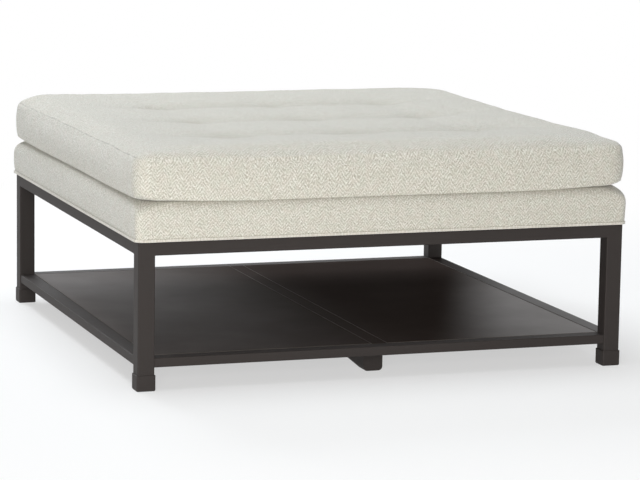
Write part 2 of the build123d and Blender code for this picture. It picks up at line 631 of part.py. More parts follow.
# Cushion: rings from the underside to the crown, then the channels and the tufts
with BuildPart() as cushion_cover:
    sides = [(CUSHION_BOTTOM + rise * UNDER_RISE, inset * UNDER_INSET) for rise, inset in UNDER_SHARES]
    sides += [(SEAM_LOW + rise * BOXING_HEIGHT, inset * BOXING_INSET) for rise, inset in BOXING_SHARES]
    crown = [sides[-1]]
    crown += [
        (SEAM_HIGH + rise * CROWN_RISE, BOXING_INSET + inset * CROWN_REACH)
        for rise, inset in CROWN_SHARES
    ]
    for stretch in (sides, crown):
        rings = []
        for height, inset in stretch:
            corner = CUSHION_CORNER + CORNER_GROWTH_SHARE * inset
            rings.append(soft_ring(height, CUSHION_HALF - inset, corner, SIDE_DRAW_IN))
        loft(rings)
    channel_radius = hollow_radius(CHANNEL_WIDTH, CHANNEL_DEPTH)
    for plane in (Plane.XZ, Plane.YZ):
        with BuildSketch(plane):
            with Locations(*[(line, CUSHION_TOP - CHANNEL_DEPTH + channel_radius) for line in tuft_lines()]):
                Circle(channel_radius)
        extrude(amount=CUSHION_HALF + OVERRUN, both=True, mode=Mode.SUBTRACT)
    dimple_radius = hollow_radius(DIMPLE_WIDTH, DIMPLE_DEPTH)
    with Locations(*[(x, y, TUFT_BOTTOM + dimple_radius) for x, y in tuft_places()]):
        Sphere(dimple_radius, mode=Mode.SUBTRACT)
    with BuildSketch(Plane.XY.offset(CUSHION_BOTTOM - OVERRUN)):
        RectangleRounded(2 * CORE_HALF, 2 * CORE_HALF, CORE_CORNER)
    extrude(amount=CORE_TOP - CUSHION_BOTTOM + OVERRUN, mode=Mode.SUBTRACT)
    with BuildSketch(Plane.XY.offset(CORE_TOP - OVERRUN)):
        with Locations(*tuft_places()):
            Circle(TIE_DIAMETER / 2 + PLUG_GAP)
    extrude(amount=TUFT_COVER + 2 * OVERRUN, mode=Mode.SUBTRACT)
write(cushion_cover, "cushion_cover")

with BuildPart() as cushion_base_cloth:
    with BuildSketch(Plane.XY.offset(CUSHION_BOTTOM)):
        RectangleRounded(2 * CORE_HALF, 2 * CORE_HALF, CORE_CORNER)
    extrude(amount=BASE_CLOTH)
write(cushion_base_cloth, "cushion_base_cloth")

# Foam core, bored for the ties and recessed below for their discs
with BuildPart() as cushion_core:
    with BuildSketch(Plane.XY.offset(CORE_BOTTOM)):
        RectangleRounded(2 * CORE_HALF, 2 * CORE_HALF, CORE_CORNER)
    extrude(amount=CORE_TOP - CORE_BOTTOM)
    with BuildSketch(Plane.XY.offset(CORE_BOTTOM)):
        with Locations(*tuft_places()):
            Circle(TIE_DIAMETER / 2 + PLUG_GAP)
    extrude(amount=CORE_TOP - CORE_BOTTOM + OVERRUN, mode=Mode.SUBTRACT)
    with BuildSketch(Plane.XY.offset(CORE_BOTTOM - OVERRUN)):
        with Locations(*tuft_places()):
            Circle(DISC_DIAMETER / 2 + PLUG_GAP)
    extrude(amount=DISC_THICKNESS + OVERRUN, mode=Mode.SUBTRACT)
write(cushion_core, "cushion_core")

with BuildPart() as tuft_anchor_discs:
    with BuildSketch(Plane.XY.offset(CORE_BOTTOM)):
        with Locations(*tuft_places()):
            Circle(DISC_DIAMETER / 2)
    extrude(amount=DISC_THICKNESS)
write(tuft_anchor_discs, "tuft_anchor_discs")

with BuildPart() as tuft_ties:
    with BuildSketch(Plane.XY.offset(DISC_TOP)):
        with Locations(*tuft_places()):
            Circle(TIE_DIAMETER / 2)
    extrude(amount=TUFT_BOTTOM - DISC_TOP)
write(tuft_ties, "tuft_ties")
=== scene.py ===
import json
import logging
import math
from dataclasses import dataclass
from enum import Enum
from typing import Dict, List, Mapping, Optional, Sequence, Tuple, Union

import bmesh
import bpy
import numpy as np
from mathutils import Matrix, Vector, noise

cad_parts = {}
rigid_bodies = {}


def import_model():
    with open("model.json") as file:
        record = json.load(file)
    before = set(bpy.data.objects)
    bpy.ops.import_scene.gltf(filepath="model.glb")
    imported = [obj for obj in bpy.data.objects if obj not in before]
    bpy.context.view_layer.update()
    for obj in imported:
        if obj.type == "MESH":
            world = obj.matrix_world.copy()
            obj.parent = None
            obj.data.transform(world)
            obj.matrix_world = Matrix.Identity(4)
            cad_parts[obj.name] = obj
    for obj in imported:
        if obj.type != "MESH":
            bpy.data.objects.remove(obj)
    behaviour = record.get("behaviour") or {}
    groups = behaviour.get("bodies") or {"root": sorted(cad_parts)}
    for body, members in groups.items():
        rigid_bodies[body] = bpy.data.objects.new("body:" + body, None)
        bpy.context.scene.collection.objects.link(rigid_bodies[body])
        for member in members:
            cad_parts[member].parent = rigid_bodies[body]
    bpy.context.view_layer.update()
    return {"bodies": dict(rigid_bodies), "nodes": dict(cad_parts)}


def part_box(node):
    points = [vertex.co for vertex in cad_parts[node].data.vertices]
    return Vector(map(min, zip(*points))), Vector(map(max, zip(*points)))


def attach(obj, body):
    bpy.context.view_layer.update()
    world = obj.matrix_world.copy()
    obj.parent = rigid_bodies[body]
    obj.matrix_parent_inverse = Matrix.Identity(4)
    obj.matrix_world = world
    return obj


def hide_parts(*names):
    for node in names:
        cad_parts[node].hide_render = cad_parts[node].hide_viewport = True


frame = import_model()        # bodies and nodes of the imported table

log = logging.getLogger("ottoman")
Colour = Tuple[float, float, float]
Point = Tuple[float, float, float]
Face = Tuple[int, ...]
Key = Union[str, int]
WHITE: Colour = (1.0, 1.0, 1.0)
CLOTH_MAP = "cloth"
# point marks of the seams: the depth of their groove and of the painted shade along them
SEAM_MARK = "seam"
# point marks of the painted shade in the tufts' hollows
TUFT_SHADE_MARK = "tuft"


class Wire:
    """An output socket of a node, so that node maths reads as plain expressions."""

    def __init__(self, tree: "NodeTree", socket: bpy.types.NodeSocket) -> None:
        """Holds the socket and the tree that it belongs to."""
        self.tree = tree
        self.socket = socket

    def __add__(self, other: "Value") -> "Wire":
        """self + other"""
        return self.tree.math("ADD", self, other)

    def __radd__(self, other: "Value") -> "Wire":
        """other + self"""
        return self.tree.math("ADD", other, self)

    def __sub__(self, other: "Value") -> "Wire":
        """self - other"""
        return self.tree.math("SUBTRACT", self, other)

    def __rsub__(self, other: "Value") -> "Wire":
        """other - self"""
        return self.tree.math("SUBTRACT", other, self)

    def __mul__(self, other: "Value") -> "Wire":
        """self * other"""
        return self.tree.math("MULTIPLY", self, other)

    def __rmul__(self, other: "Value") -> "Wire":
        """other * self"""
        return self.tree.math("MULTIPLY", other, self)

    def __truediv__(self, other: "Value") -> "Wire":
        """self / other"""
        return self.tree.math("DIVIDE", self, other)

    def __rtruediv__(self, other: "Value") -> "Wire":
        """other / self"""
        return self.tree.math("DIVIDE", other, self)

    def __mod__(self, other: "Value") -> "Wire":
        """self modulo other"""
        return self.tree.math("FLOORED_MODULO", self, other)


Value = Union[Wire, float, Sequence[float]]
Settings = Optional[Mapping[str, object]]
Inputs = Optional[Mapping[Key, Value]]


def flat(colour: Colour) -> Tuple[float, float, float, float]:
    """A colour as a socket takes it."""
    return (*colour, 1.0)


class NodeTree:
    """A tree of nodes: of a finish, of the studio's surroundings, or of pieces along a path."""

    def __init__(self, tree: bpy.types.NodeTree) -> None:
        """Empties the tree."""
        self.tree = tree
        tree.nodes.clear()

    def node(self, kind: str, settings: Settings = None, inputs: Inputs = None) -> bpy.types.Node:
        """Adds one node, sets it up and joins it.

        Args:
            kind: Node type.
            settings: Properties, set first.
            inputs: Values or wires by the input's name or number.

        Returns:
            The node.
        """
        made = self.tree.nodes.new(kind)
        for name, value in (settings or {}).items():
            setattr(made, name, value)
        for name, value in (inputs or {}).items():
            if isinstance(value, Wire):
                self.tree.links.new(value.socket, made.inputs[name])
            else:
                made.inputs[name].default_value = value
        return made

    def wire(self, made: bpy.types.Node, output: Key = 0) -> Wire:
        """Output of a node, ready for an expression."""
        return Wire(self, made.outputs[output])

    def add(self, kind: str, settings: Settings = None, inputs: Inputs = None, output: Key = 0) -> Wire:
        """Output of a new node, ready for an expression."""
        return self.wire(self.node(kind, settings, inputs), output)

    def math(self, operation: str, first: Value, second: Value = 0.0, third: Value = 0.0) -> Wire:
        """One Math node."""
        return self.add("ShaderNodeMath", {"operation": operation}, {0: first, 1: second, 2: third})

    def vector_math(self, operation: str, inputs: Inputs) -> Wire:
        """One Vector Math node that gives a vector."""
        return self.add("ShaderNodeVectorMath", {"operation": operation}, inputs)

    def split(self, vector: Wire) -> Tuple[Wire, Wire, Wire]:
        """The three numbers of a vector."""
        made = self.node("ShaderNodeSeparateXYZ", None, {0: vector})
        return self.wire(made, 0), self.wire(made, 1), self.wire(made, 2)

    def join(self, x: Value, y: Value, z: Value) -> Wire:
        """A vector from three numbers."""
        return self.add("ShaderNodeCombineXYZ", None, {0: x, 1: y, 2: z})


class FinishTree(NodeTree):
    """Node tree of one material."""

    def __init__(self, name: str) -> None:
        """Starts an empty material.

        Args:
            name: Name of the material.
        """
        self.material = bpy.data.materials.new(name)
        self.material.use_nodes = True
        super().__init__(self.material.node_tree)

    def place(self) -> Wire:
        """Coordinates on the piece, in metres, in the table's own frame."""
        return self.add("ShaderNodeTexCoord", output="Object")

    def cloth(self) -> Wire:
        """Coordinates in the cut cloth, in metres."""
        return self.add("ShaderNodeUVMap", {"uv_map": CLOTH_MAP})

    def mark(self, name: str) -> Wire:
        """A mark that the piece's own points carry."""
        return self.add("ShaderNodeAttribute", {"attribute_name": name}, output="Fac")

    def noise(self, where: Wire, scale: float, detail: float = 2.0, rough: float = 0.5) -> Wire:
        """Soft noise between 0 and 1: where, in cells to a metre, with finer layers and their strength."""
        inputs = {"Vector": where, "Scale": scale, "Detail": detail, "Roughness": rough}
        return self.add("ShaderNodeTexNoise", None, inputs, "Fac")

    def cells(self, where: Wire, scale: float) -> Wire:
        """Distance to the nearest cell of a Voronoi pattern."""
        return self.add("ShaderNodeTexVoronoi", None, {"Vector": where, "Scale": scale}, "Distance")

    def between(self, value: Wire, low: float, high: float) -> Wire:
        """0 below low, 1 above high, and a smooth step between them."""
        inputs = {"Value": value, "From Min": low, "From Max": high}
        return self.add("ShaderNodeMapRange", {"interpolation_type": "SMOOTHSTEP"}, inputs)

    def blend(self, share: Value, first: Value, second: Value) -> Wire:
        """Colour between two colours."""
        pair = [flat(one) if isinstance(one, tuple) else one for one in (first, second)]
        return self.add("ShaderNodeMix", {"data_type": "RGBA"}, {0: share, 6: pair[0], 7: pair[1]}, 2)

    def bump(self, height: Wire, distance: float, strength: float = 1.0) -> Wire:
        """Normal of a relief from 0 to 1 that is a distance deep, in metres, and shows by its strength."""
        inputs = {"Height": height, "Distance": distance, "Strength": strength}
        return self.add("ShaderNodeBump", None, inputs, "Normal")

    def surface(self, inputs: Mapping[str, Value]) -> bpy.types.Material:
        """Ends the tree in a Principled surface.

        Args:
            inputs: Values or wires of its sockets.

        Returns:
            The finished material.
        """
        shader = self.add("ShaderNodeBsdfPrincipled", None, inputs)
        self.node("ShaderNodeOutputMaterial", None, {"Surface": shader})
        return self.material


@dataclass(frozen=True)
class PowderCoat:
    """Dark bronze powder coat on steel, satin, with a fine orange peel."""

    name: str = "bronze_powder_coat"
    deep: Colour = (0.0137, 0.0098, 0.0083)
    warm: Colour = (0.0236, 0.0170, 0.0148)
    roughness: float = 0.6
    specular: float = 0.39
    # a painted sheen: how much coat towards the left and right ends, in place of the side light there
    end_sheen: Tuple[float, float] = (0.0, 0.0)
    end_sheen_left: Tuple[float, float] = (-0.12, 0.45)
    end_sheen_right: Tuple[float, float] = (0.32, 0.52)
    end_sheen_slant: float = 0.45
    end_sheen_least: float = 0.02

    def material(self) -> bpy.types.Material:
        """Builds the finish. On a shelf, a clear coat grows towards the open ends: a painted sheen in place
        of the side light that reaches there.

        Returns:
            The material.
        """
        tree = FinishTree(self.name)
        where = tree.place()
        cloud = tree.noise(where, 9.0, 3.0)
        speck = tree.noise(where, 420.0, 2.0)
        rub = tree.between(tree.noise(where, 38.0, 4.0, 0.6), 0.55, 0.78)
        colour = tree.blend(cloud * 0.7 + speck * 0.3, self.deep, self.warm)
        peel = tree.noise(where, 900.0, 1.0) * 0.7 + tree.noise(where, 210.0, 1.0) * 0.3
        inputs: Dict[str, Value] = {
            "Base Color": colour,
            "Roughness": self.roughness + cloud * 0.06 + speck * 0.05 + rub * 0.05,
            "Metallic": 0.0,
            "Specular IOR Level": self.specular,
            "Normal": tree.bump(peel, 0.00006, 0.5),
        }
        # painted sheen towards the open ends
        if any(self.end_sheen):
            x, y, _ = tree.split(where)
            left = tree.between(x * -1.0, *self.end_sheen_left)
            right = tree.between(x - y * self.end_sheen_slant, *self.end_sheen_right)
            coat_sheen = left * self.end_sheen[0] + right * self.end_sheen[1] + self.end_sheen_least
            inputs["Coat Weight"] = coat_sheen * (0.8 + cloud * 0.4)
            inputs["Coat Roughness"] = 0.42
        return tree.surface(inputs)


@dataclass(frozen=True)
class Herringbone:
    """Oatmeal herringbone cloth: upright columns of slanting yarns that turn at each column."""

    name: str = "oatmeal_herringbone"
    warp: float = 0.00165
    weft: float = 0.0019
    ends: int = 8
    light: Colour = (0.905, 0.900, 0.850)
    dark: Colour = (0.345, 0.320, 0.252)
    heather: Colour = (0.645, 0.610, 0.525)
    rose: Colour = (0.665, 0.585, 0.515)
    sage: Colour = (0.600, 0.620, 0.515)
    # painted shade along the seams
    seam_painted_shade: Colour = (0.16, 0.145, 0.12)
    # painted shade in the tufts' hollows and the folds between them
    tuft_painted_shade: Colour = (0.38, 0.36, 0.295)
    sheen: Colour = (0.95, 0.96, 1.0)

    def material(self) -> bpy.types.Material:
        """Builds the finish.

        Returns:
            The material.
        """
        tree = FinishTree(self.name)
        where = tree.cloth()
        drift = tree.noise(where, 30.0, 2.0) * 0.0052 + tree.noise(where, 160.0, 1.0) * 0.0031
        across, along, _ = tree.split(where)
        across = (across + drift) / self.warp
        along = (along + drift) / self.weft
        end, pick = tree.math("FLOOR", across), tree.math("FLOOR", along)
        inside = tree.math("PINGPONG", end + 0.5, float(self.ends))
        column = tree.math("FLOOR", end / self.ends)
        offset = tree.math("FLOOR", tree.noise(tree.join(column * 7.31 + 0.37, 0.5, 0.5), 1.0, 0.0) * 24.0)
        step = tree.math("FLOOR", pick + inside + offset) % 4.0
        over = 1.0 - tree.math("GREATER_THAN", step, 1.5)
        warp_roll = tree.math("SINE", tree.math("FRACT", across) * math.pi)
        weft_roll = tree.math("SINE", tree.math("FRACT", along) * math.pi)
        roll = over * warp_roll + (1.0 - over) * weft_roll
        fibre = tree.noise(tree.join(across * 1.6, along * 0.5, 0.0), 1.0, 2.0)
        knot = tree.noise(tree.join(end * 0.9 + over * 7.3, pick * 0.55 - over * 3.1, 1.0), 1.0, 1.0)
        fleck = tree.noise(where, 380.0, 2.0, 0.6)
        nub = tree.noise(where, 330.0, 2.0, 0.6)
        patch = tree.noise(where, 55.0, 2.0)
        cloud = tree.noise(where, 7.0, 2.0)
        tint = tree.blend(tree.between(patch, 0.35, 0.65), self.rose, self.sage)
        slub = tree.add("ShaderNodeTexWhiteNoise", None, {"Vector": tree.join(end, pick, over)})
        yarns = tree.blend(over + (slub - 0.5) * 1.45, self.dark, self.light)
        felted = tree.between(tree.noise(where, 85.0, 2.0), 0.42, 0.68) * 0.55
        knotted = tree.between(knot, 0.4, 0.7) * 0.75
        mottled = tree.blend(tree.math("MAXIMUM", knotted, felted), yarns, self.heather)
        toned = tree.blend(tree.between(cloud, 0.3, 0.7) * 0.10 + 0.19, mottled, tint)
        raised = tree.between(fibre, 0.5, 0.9) * 0.3 + (1.0 - tree.between(nub, 0.3, 0.5)) * 0.55
        pale = tree.blend(raised, toned, self.light)
        # painted shade at the edges of each rounded yarn, with dark flecks of yarn
        shaded = tree.blend((1.0 - roll) * 0.26 + tree.between(fleck, 0.5, 0.7) * 0.62, pale, self.dark)
        # painted shade in the tufts' hollows and the folds between them, where the cloth is drawn in
        hollow_shade = tree.blend(tree.mark(TUFT_SHADE_MARK) * 0.46, shaded, self.tuft_painted_shade)
        # painted shade along the seams, its strength wandering along them
        seam_shade_strength = tree.between(tree.noise(where, 34.0, 2.0), 0.38, 0.66) * 0.5 + 0.1
        colour = tree.blend(tree.between(tree.mark(SEAM_MARK), 0.4, 1.05) * seam_shade_strength, hollow_shade, self.seam_painted_shade)
        relief = roll * 0.75 + fibre * 0.25
        return tree.surface(
            {
                "Base Color": colour,
                "Roughness": 0.86 + fibre * 0.1,
                "Specular IOR Level": 0.25,
                "Sheen Weight": 0.3,
                "Sheen Roughness": 0.45,
                "Sheen Tint": flat(self.sheen),
                "Normal": tree.bump(relief, 0.0005, 0.6),
            }
        )


@dataclass(frozen=True)
class SpunCloth:
    """Black non-woven cloth, pressed in a fine diamond dot."""

    name: str = "black_spun_cloth"
    colour: Colour = (0.012, 0.012, 0.0125)
    fibre: Colour = (0.035, 0.035, 0.037)
    dot_pitch: float = 1900.0

    def material(self) -> bpy.types.Material:
        """Builds the finish.

        Returns:
            The material.
        """
        tree = FinishTree(self.name)
        where = tree.place()
        x, y, _ = tree.split(where)
        dots = tree.math("SINE", (x + y) * self.dot_pitch) * tree.math("SINE", (x - y) * self.dot_pitch)
        threads = tree.noise(where, 700.0, 3.0, 0.65)
        colour = tree.blend(threads * 0.8 + tree.between(dots, 0.4, 0.9) * 0.2, self.colour, self.fibre)
        return tree.surface(
            {
                "Base Color": colour,
                "Roughness": 0.8 + threads * 0.15,
                "Normal": tree.bump(threads * 0.6 + dots * 0.4, 0.0002, 0.7),
            }
        )


@dataclass(frozen=True)
class Timber:
    """Planed softwood, its grain along one axis."""

    name: str = "planed_softwood"
    early: Colour = (0.60, 0.42, 0.24)
    late: Colour = (0.38, 0.235, 0.115)
    stretch: Point = (2.0, 14.0, 14.0)
    pore_stretch: Point = (3.0, 40.0, 40.0)

    def material(self) -> bpy.types.Material:
        """Builds the finish.

        Returns:
            The material.
        """
        tree = FinishTree(self.name)
        where = tree.vector_math("MULTIPLY", {0: tree.place(), 1: self.stretch})
        sway = tree.noise(where, 0.7, 2.0)
        rings = tree.math("SINE", (tree.noise(where, 0.5, 1.0) * 9.0 + sway * 4.0) * 6.0) * 0.5 + 0.5
        pores = tree.noise(tree.vector_math("MULTIPLY", {0: where, 1: self.pore_stretch}), 1.0, 2.0)
        colour = tree.blend(tree.between(rings, 0.15, 0.95) * 0.8 + pores * 0.2, self.early, self.late)
        return tree.surface(
            {
                "Base Color": colour,
                "Roughness": 0.55 + pores * 0.2,
                "Normal": tree.bump(rings * 0.4 + pores * 0.6, 0.0002, 0.5),
            }
        )


@dataclass(frozen=True)
class OpenFoam:
    """Cut polyurethane foam with its open cells."""

    name: str = "cut_foam"
    colour: Colour = (0.80, 0.74, 0.52)
    pore: Colour = (0.52, 0.46, 0.28)
    aged: Colour = (0.72, 0.60, 0.36)

    def material(self) -> bpy.types.Material:
        """Builds the finish.

        Returns:
            The material.
        """
        tree = FinishTree(self.name)
        where = tree.place()
        cells = tree.cells(where, 900.0)
        aged = tree.noise(where, 5.0, 2.0)
        colour = tree.blend(tree.between(cells, 0.1, 0.6), self.pore, self.colour)
        colour = tree.blend(aged * 0.25, colour, self.aged)
        return tree.surface(
            {"Base Color": colour, "Roughness": 0.9 + aged * 0.08, "Normal": tree.bump(cells, 0.0006, 0.7)}
        )


@dataclass(frozen=True)
class Moulded:
    """Moulded plastic with a spark-eroded skin."""

    name: str = "black_nylon"
    colour: Colour = (0.012, 0.012, 0.013)
    scuffed: Colour = (0.05, 0.05, 0.052)
    roughness: float = 0.5

    def material(self) -> bpy.types.Material:
        """Builds the finish.

        Returns:
            The material.
        """
        tree = FinishTree(self.name)
        where = tree.place()
        grit = tree.noise(where, 1400.0, 2.0)
        scuff = tree.between(tree.noise(where, 60.0, 4.0, 0.6), 0.5, 0.8)
        return tree.surface(
            {
                "Base Color": tree.blend(scuff * 0.5, self.colour, self.scuffed),
                "Roughness": self.roughness + grit * 0.1 + scuff * 0.15,
                "Normal": tree.bump(grit, 0.00008, 0.5),
            }
        )


@dataclass(frozen=True)
class ZincPlate:
    """Bright zinc on steel hardware, faintly spangled."""

    name: str = "bright_zinc"
    pale: Colour = (0.66, 0.68, 0.68)
    dull: Colour = (0.46, 0.47, 0.46)

    def material(self) -> bpy.types.Material:
        """Builds the finish.

        Returns:
            The material.
        """
        tree = FinishTree(self.name)
        where = tree.place()
        spangle = tree.cells(where, 350.0)
        smear = tree.noise(where, 120.0, 3.0)
        return tree.surface(
            {
                "Base Color": tree.blend(spangle * 0.6 + smear * 0.4, self.dull, self.pale),
                "Metallic": 1.0,
                "Roughness": 0.24 + smear * 0.16,
                "Normal": tree.bump(smear, 0.00005, 0.4),
            }
        )


@dataclass(frozen=True)
class TwistedCord:
    """Waxed cord, its two plies twisted round each other."""

    name: str = "waxed_cord"
    light: Colour = (0.66, 0.61, 0.50)
    dark: Colour = (0.36, 0.32, 0.24)
    twist: float = 2600.0

    def material(self) -> bpy.types.Material:
        """Builds the finish.

        Returns:
            The material.
        """
        tree = FinishTree(self.name)
        x, y, z = tree.split(tree.place())
        twist = tree.math("SINE", (x + y + z * 1.6) * self.twist) * 0.5 + 0.5
        fuzz = tree.noise(tree.place(), 1500.0, 2.0)
        return tree.surface(
            {
                "Base Color": tree.blend(twist * 0.8 + fuzz * 0.2, self.dark, self.light),
                "Roughness": 0.7 + fuzz * 0.2,
                "Normal": tree.bump(twist, 0.0003, 0.8),
            }
        )


class Finish(Enum):
    """Every finish of the table."""

    STEEL = PowderCoat()
    # the shelf's coat: painted lighter than the rest of the base to offset the shade under the deck, and with
    # the painted sheen
    SHELF = PowderCoat(
        name="bronze_powder_coat_shelf_painted_light",
        deep=(0.053, 0.041, 0.036),
        warm=(0.079, 0.061, 0.055),
        specular=0.0,
        end_sheen=(0.55, 0.84),
    )
    # the rail beside the shelf, with the painted sheen of the shelf
    RAIL = PowderCoat("bronze_powder_coat_rail_painted_sheen", specular=0.0, end_sheen=(0.42, 0.52), end_sheen_least=0.16)
    # light coat of the joint beads: a painted highlight
    JOINT_HIGHLIGHT = PowderCoat("painted_joint_highlight", (0.130, 0.112, 0.103), (0.215, 0.190, 0.174), specular=0.07)
    CLOTH = Herringbone()
    WELT = Herringbone(
        "oatmeal_welt", light=(0.92, 0.90, 0.85), dark=(0.60, 0.56, 0.48), heather=(0.78, 0.74, 0.66)
    )
    DUST_CLOTH = SpunCloth()
    TIMBER_X = Timber()
    TIMBER_Y = Timber("planed_softwood_lengthwise", stretch=(14.0, 2.0, 14.0))
    PLYWOOD = Timber("plywood", (0.66, 0.49, 0.30), (0.47, 0.31, 0.17), (1.2, 1.2, 60.0))
    FOAM = OpenFoam()
    NYLON = Moulded()
    DISC = Moulded("grey_polythene", (0.20, 0.21, 0.22), (0.34, 0.35, 0.36), 0.4)
    ZINC = ZincPlate()
    CORD = TwistedCord()
    THREAD = TwistedCord("welt_thread", (0.80, 0.78, 0.72), (0.62, 0.59, 0.52))


class Dresser:
    """Gives nodes and pieces their materials, each built once."""

    def __init__(self) -> None:
        """Starts with no material built."""
        self.made: Dict[Finish, bpy.types.Material] = {}

    def material(self, finish: Finish) -> bpy.types.Material:
        """The material of a finish.

        Args:
            finish: The finish.

        Returns:
            Its material.
        """
        if finish not in self.made:
            self.made[finish] = finish.value.material()
        return self.made[finish]

    def dress(self, piece: bpy.types.Object, finish: Finish) -> None:
        """Covers a whole piece in one finish.

        Args:
            piece: The piece, or a node of the frame.
            finish: What covers it.
        """
        if piece.material_slots:
            for place in piece.material_slots:
                place.material = self.material(finish)
        else:
            piece.data.materials.append(self.material(finish))

    def dress_nodes(self, finishes: Mapping[str, Finish]) -> None:
        """Covers the frame's nodes, and reports each.

        Args:
            finishes: Finish by the start of a node's name. The longest start that fits counts.
        """
        for name, node in frame["nodes"].items():
            starts = [start for start in finishes if name.startswith(start)]
            if starts:
                finish = finishes[max(starts, key=len)]
                self.dress(node, finish)
                log.info("node %s: %s", name, finish.value.name)


@dataclass(frozen=True)
class Level:
    """One level outline of a padded piece: a square with round corners and sides drawn in."""

    height: float
    half: float
    corner: float
    draw_in: float = 0.0
    seam: float = 0.0


def outline(share: np.ndarray, level: Level) -> Tuple[np.ndarray, np.ndarray]:
    """Points along the front side of a level outline.

    Args:
        share: Places from -1 to 1, from the middle of one corner to the middle of the next.
        level: The outline.

    Returns:
        Their x and y.
    """
    straight = level.half - level.corner
    along = share * (straight + level.corner * math.pi / 4)
    angle = np.clip(np.abs(along) - straight, 0, None) / max(level.corner, 1e-9)
    x = np.sign(along) * (np.minimum(np.abs(along), straight) + level.corner * np.sin(angle))
    y = -level.half + level.corner * (1 - np.cos(angle))
    y = y + level.draw_in * np.clip(1 - (x / max(level.half, 1e-9)) ** 2, 0, 1)
    return x, y


def turned(x: np.ndarray, y: np.ndarray, quarter: np.ndarray) -> Tuple[np.ndarray, np.ndarray]:
    """Turns points about the middle.

    Args:
        x: Their x.
        y: Their y.
        quarter: Whole quarters, from 0 to 3.

    Returns:
        The new x and y.
    """
    cos = np.array([1, 0, -1, 0])[quarter]
    sin = np.array([0, 1, 0, -1])[quarter]
    return x * cos - y * sin, x * sin + y * cos


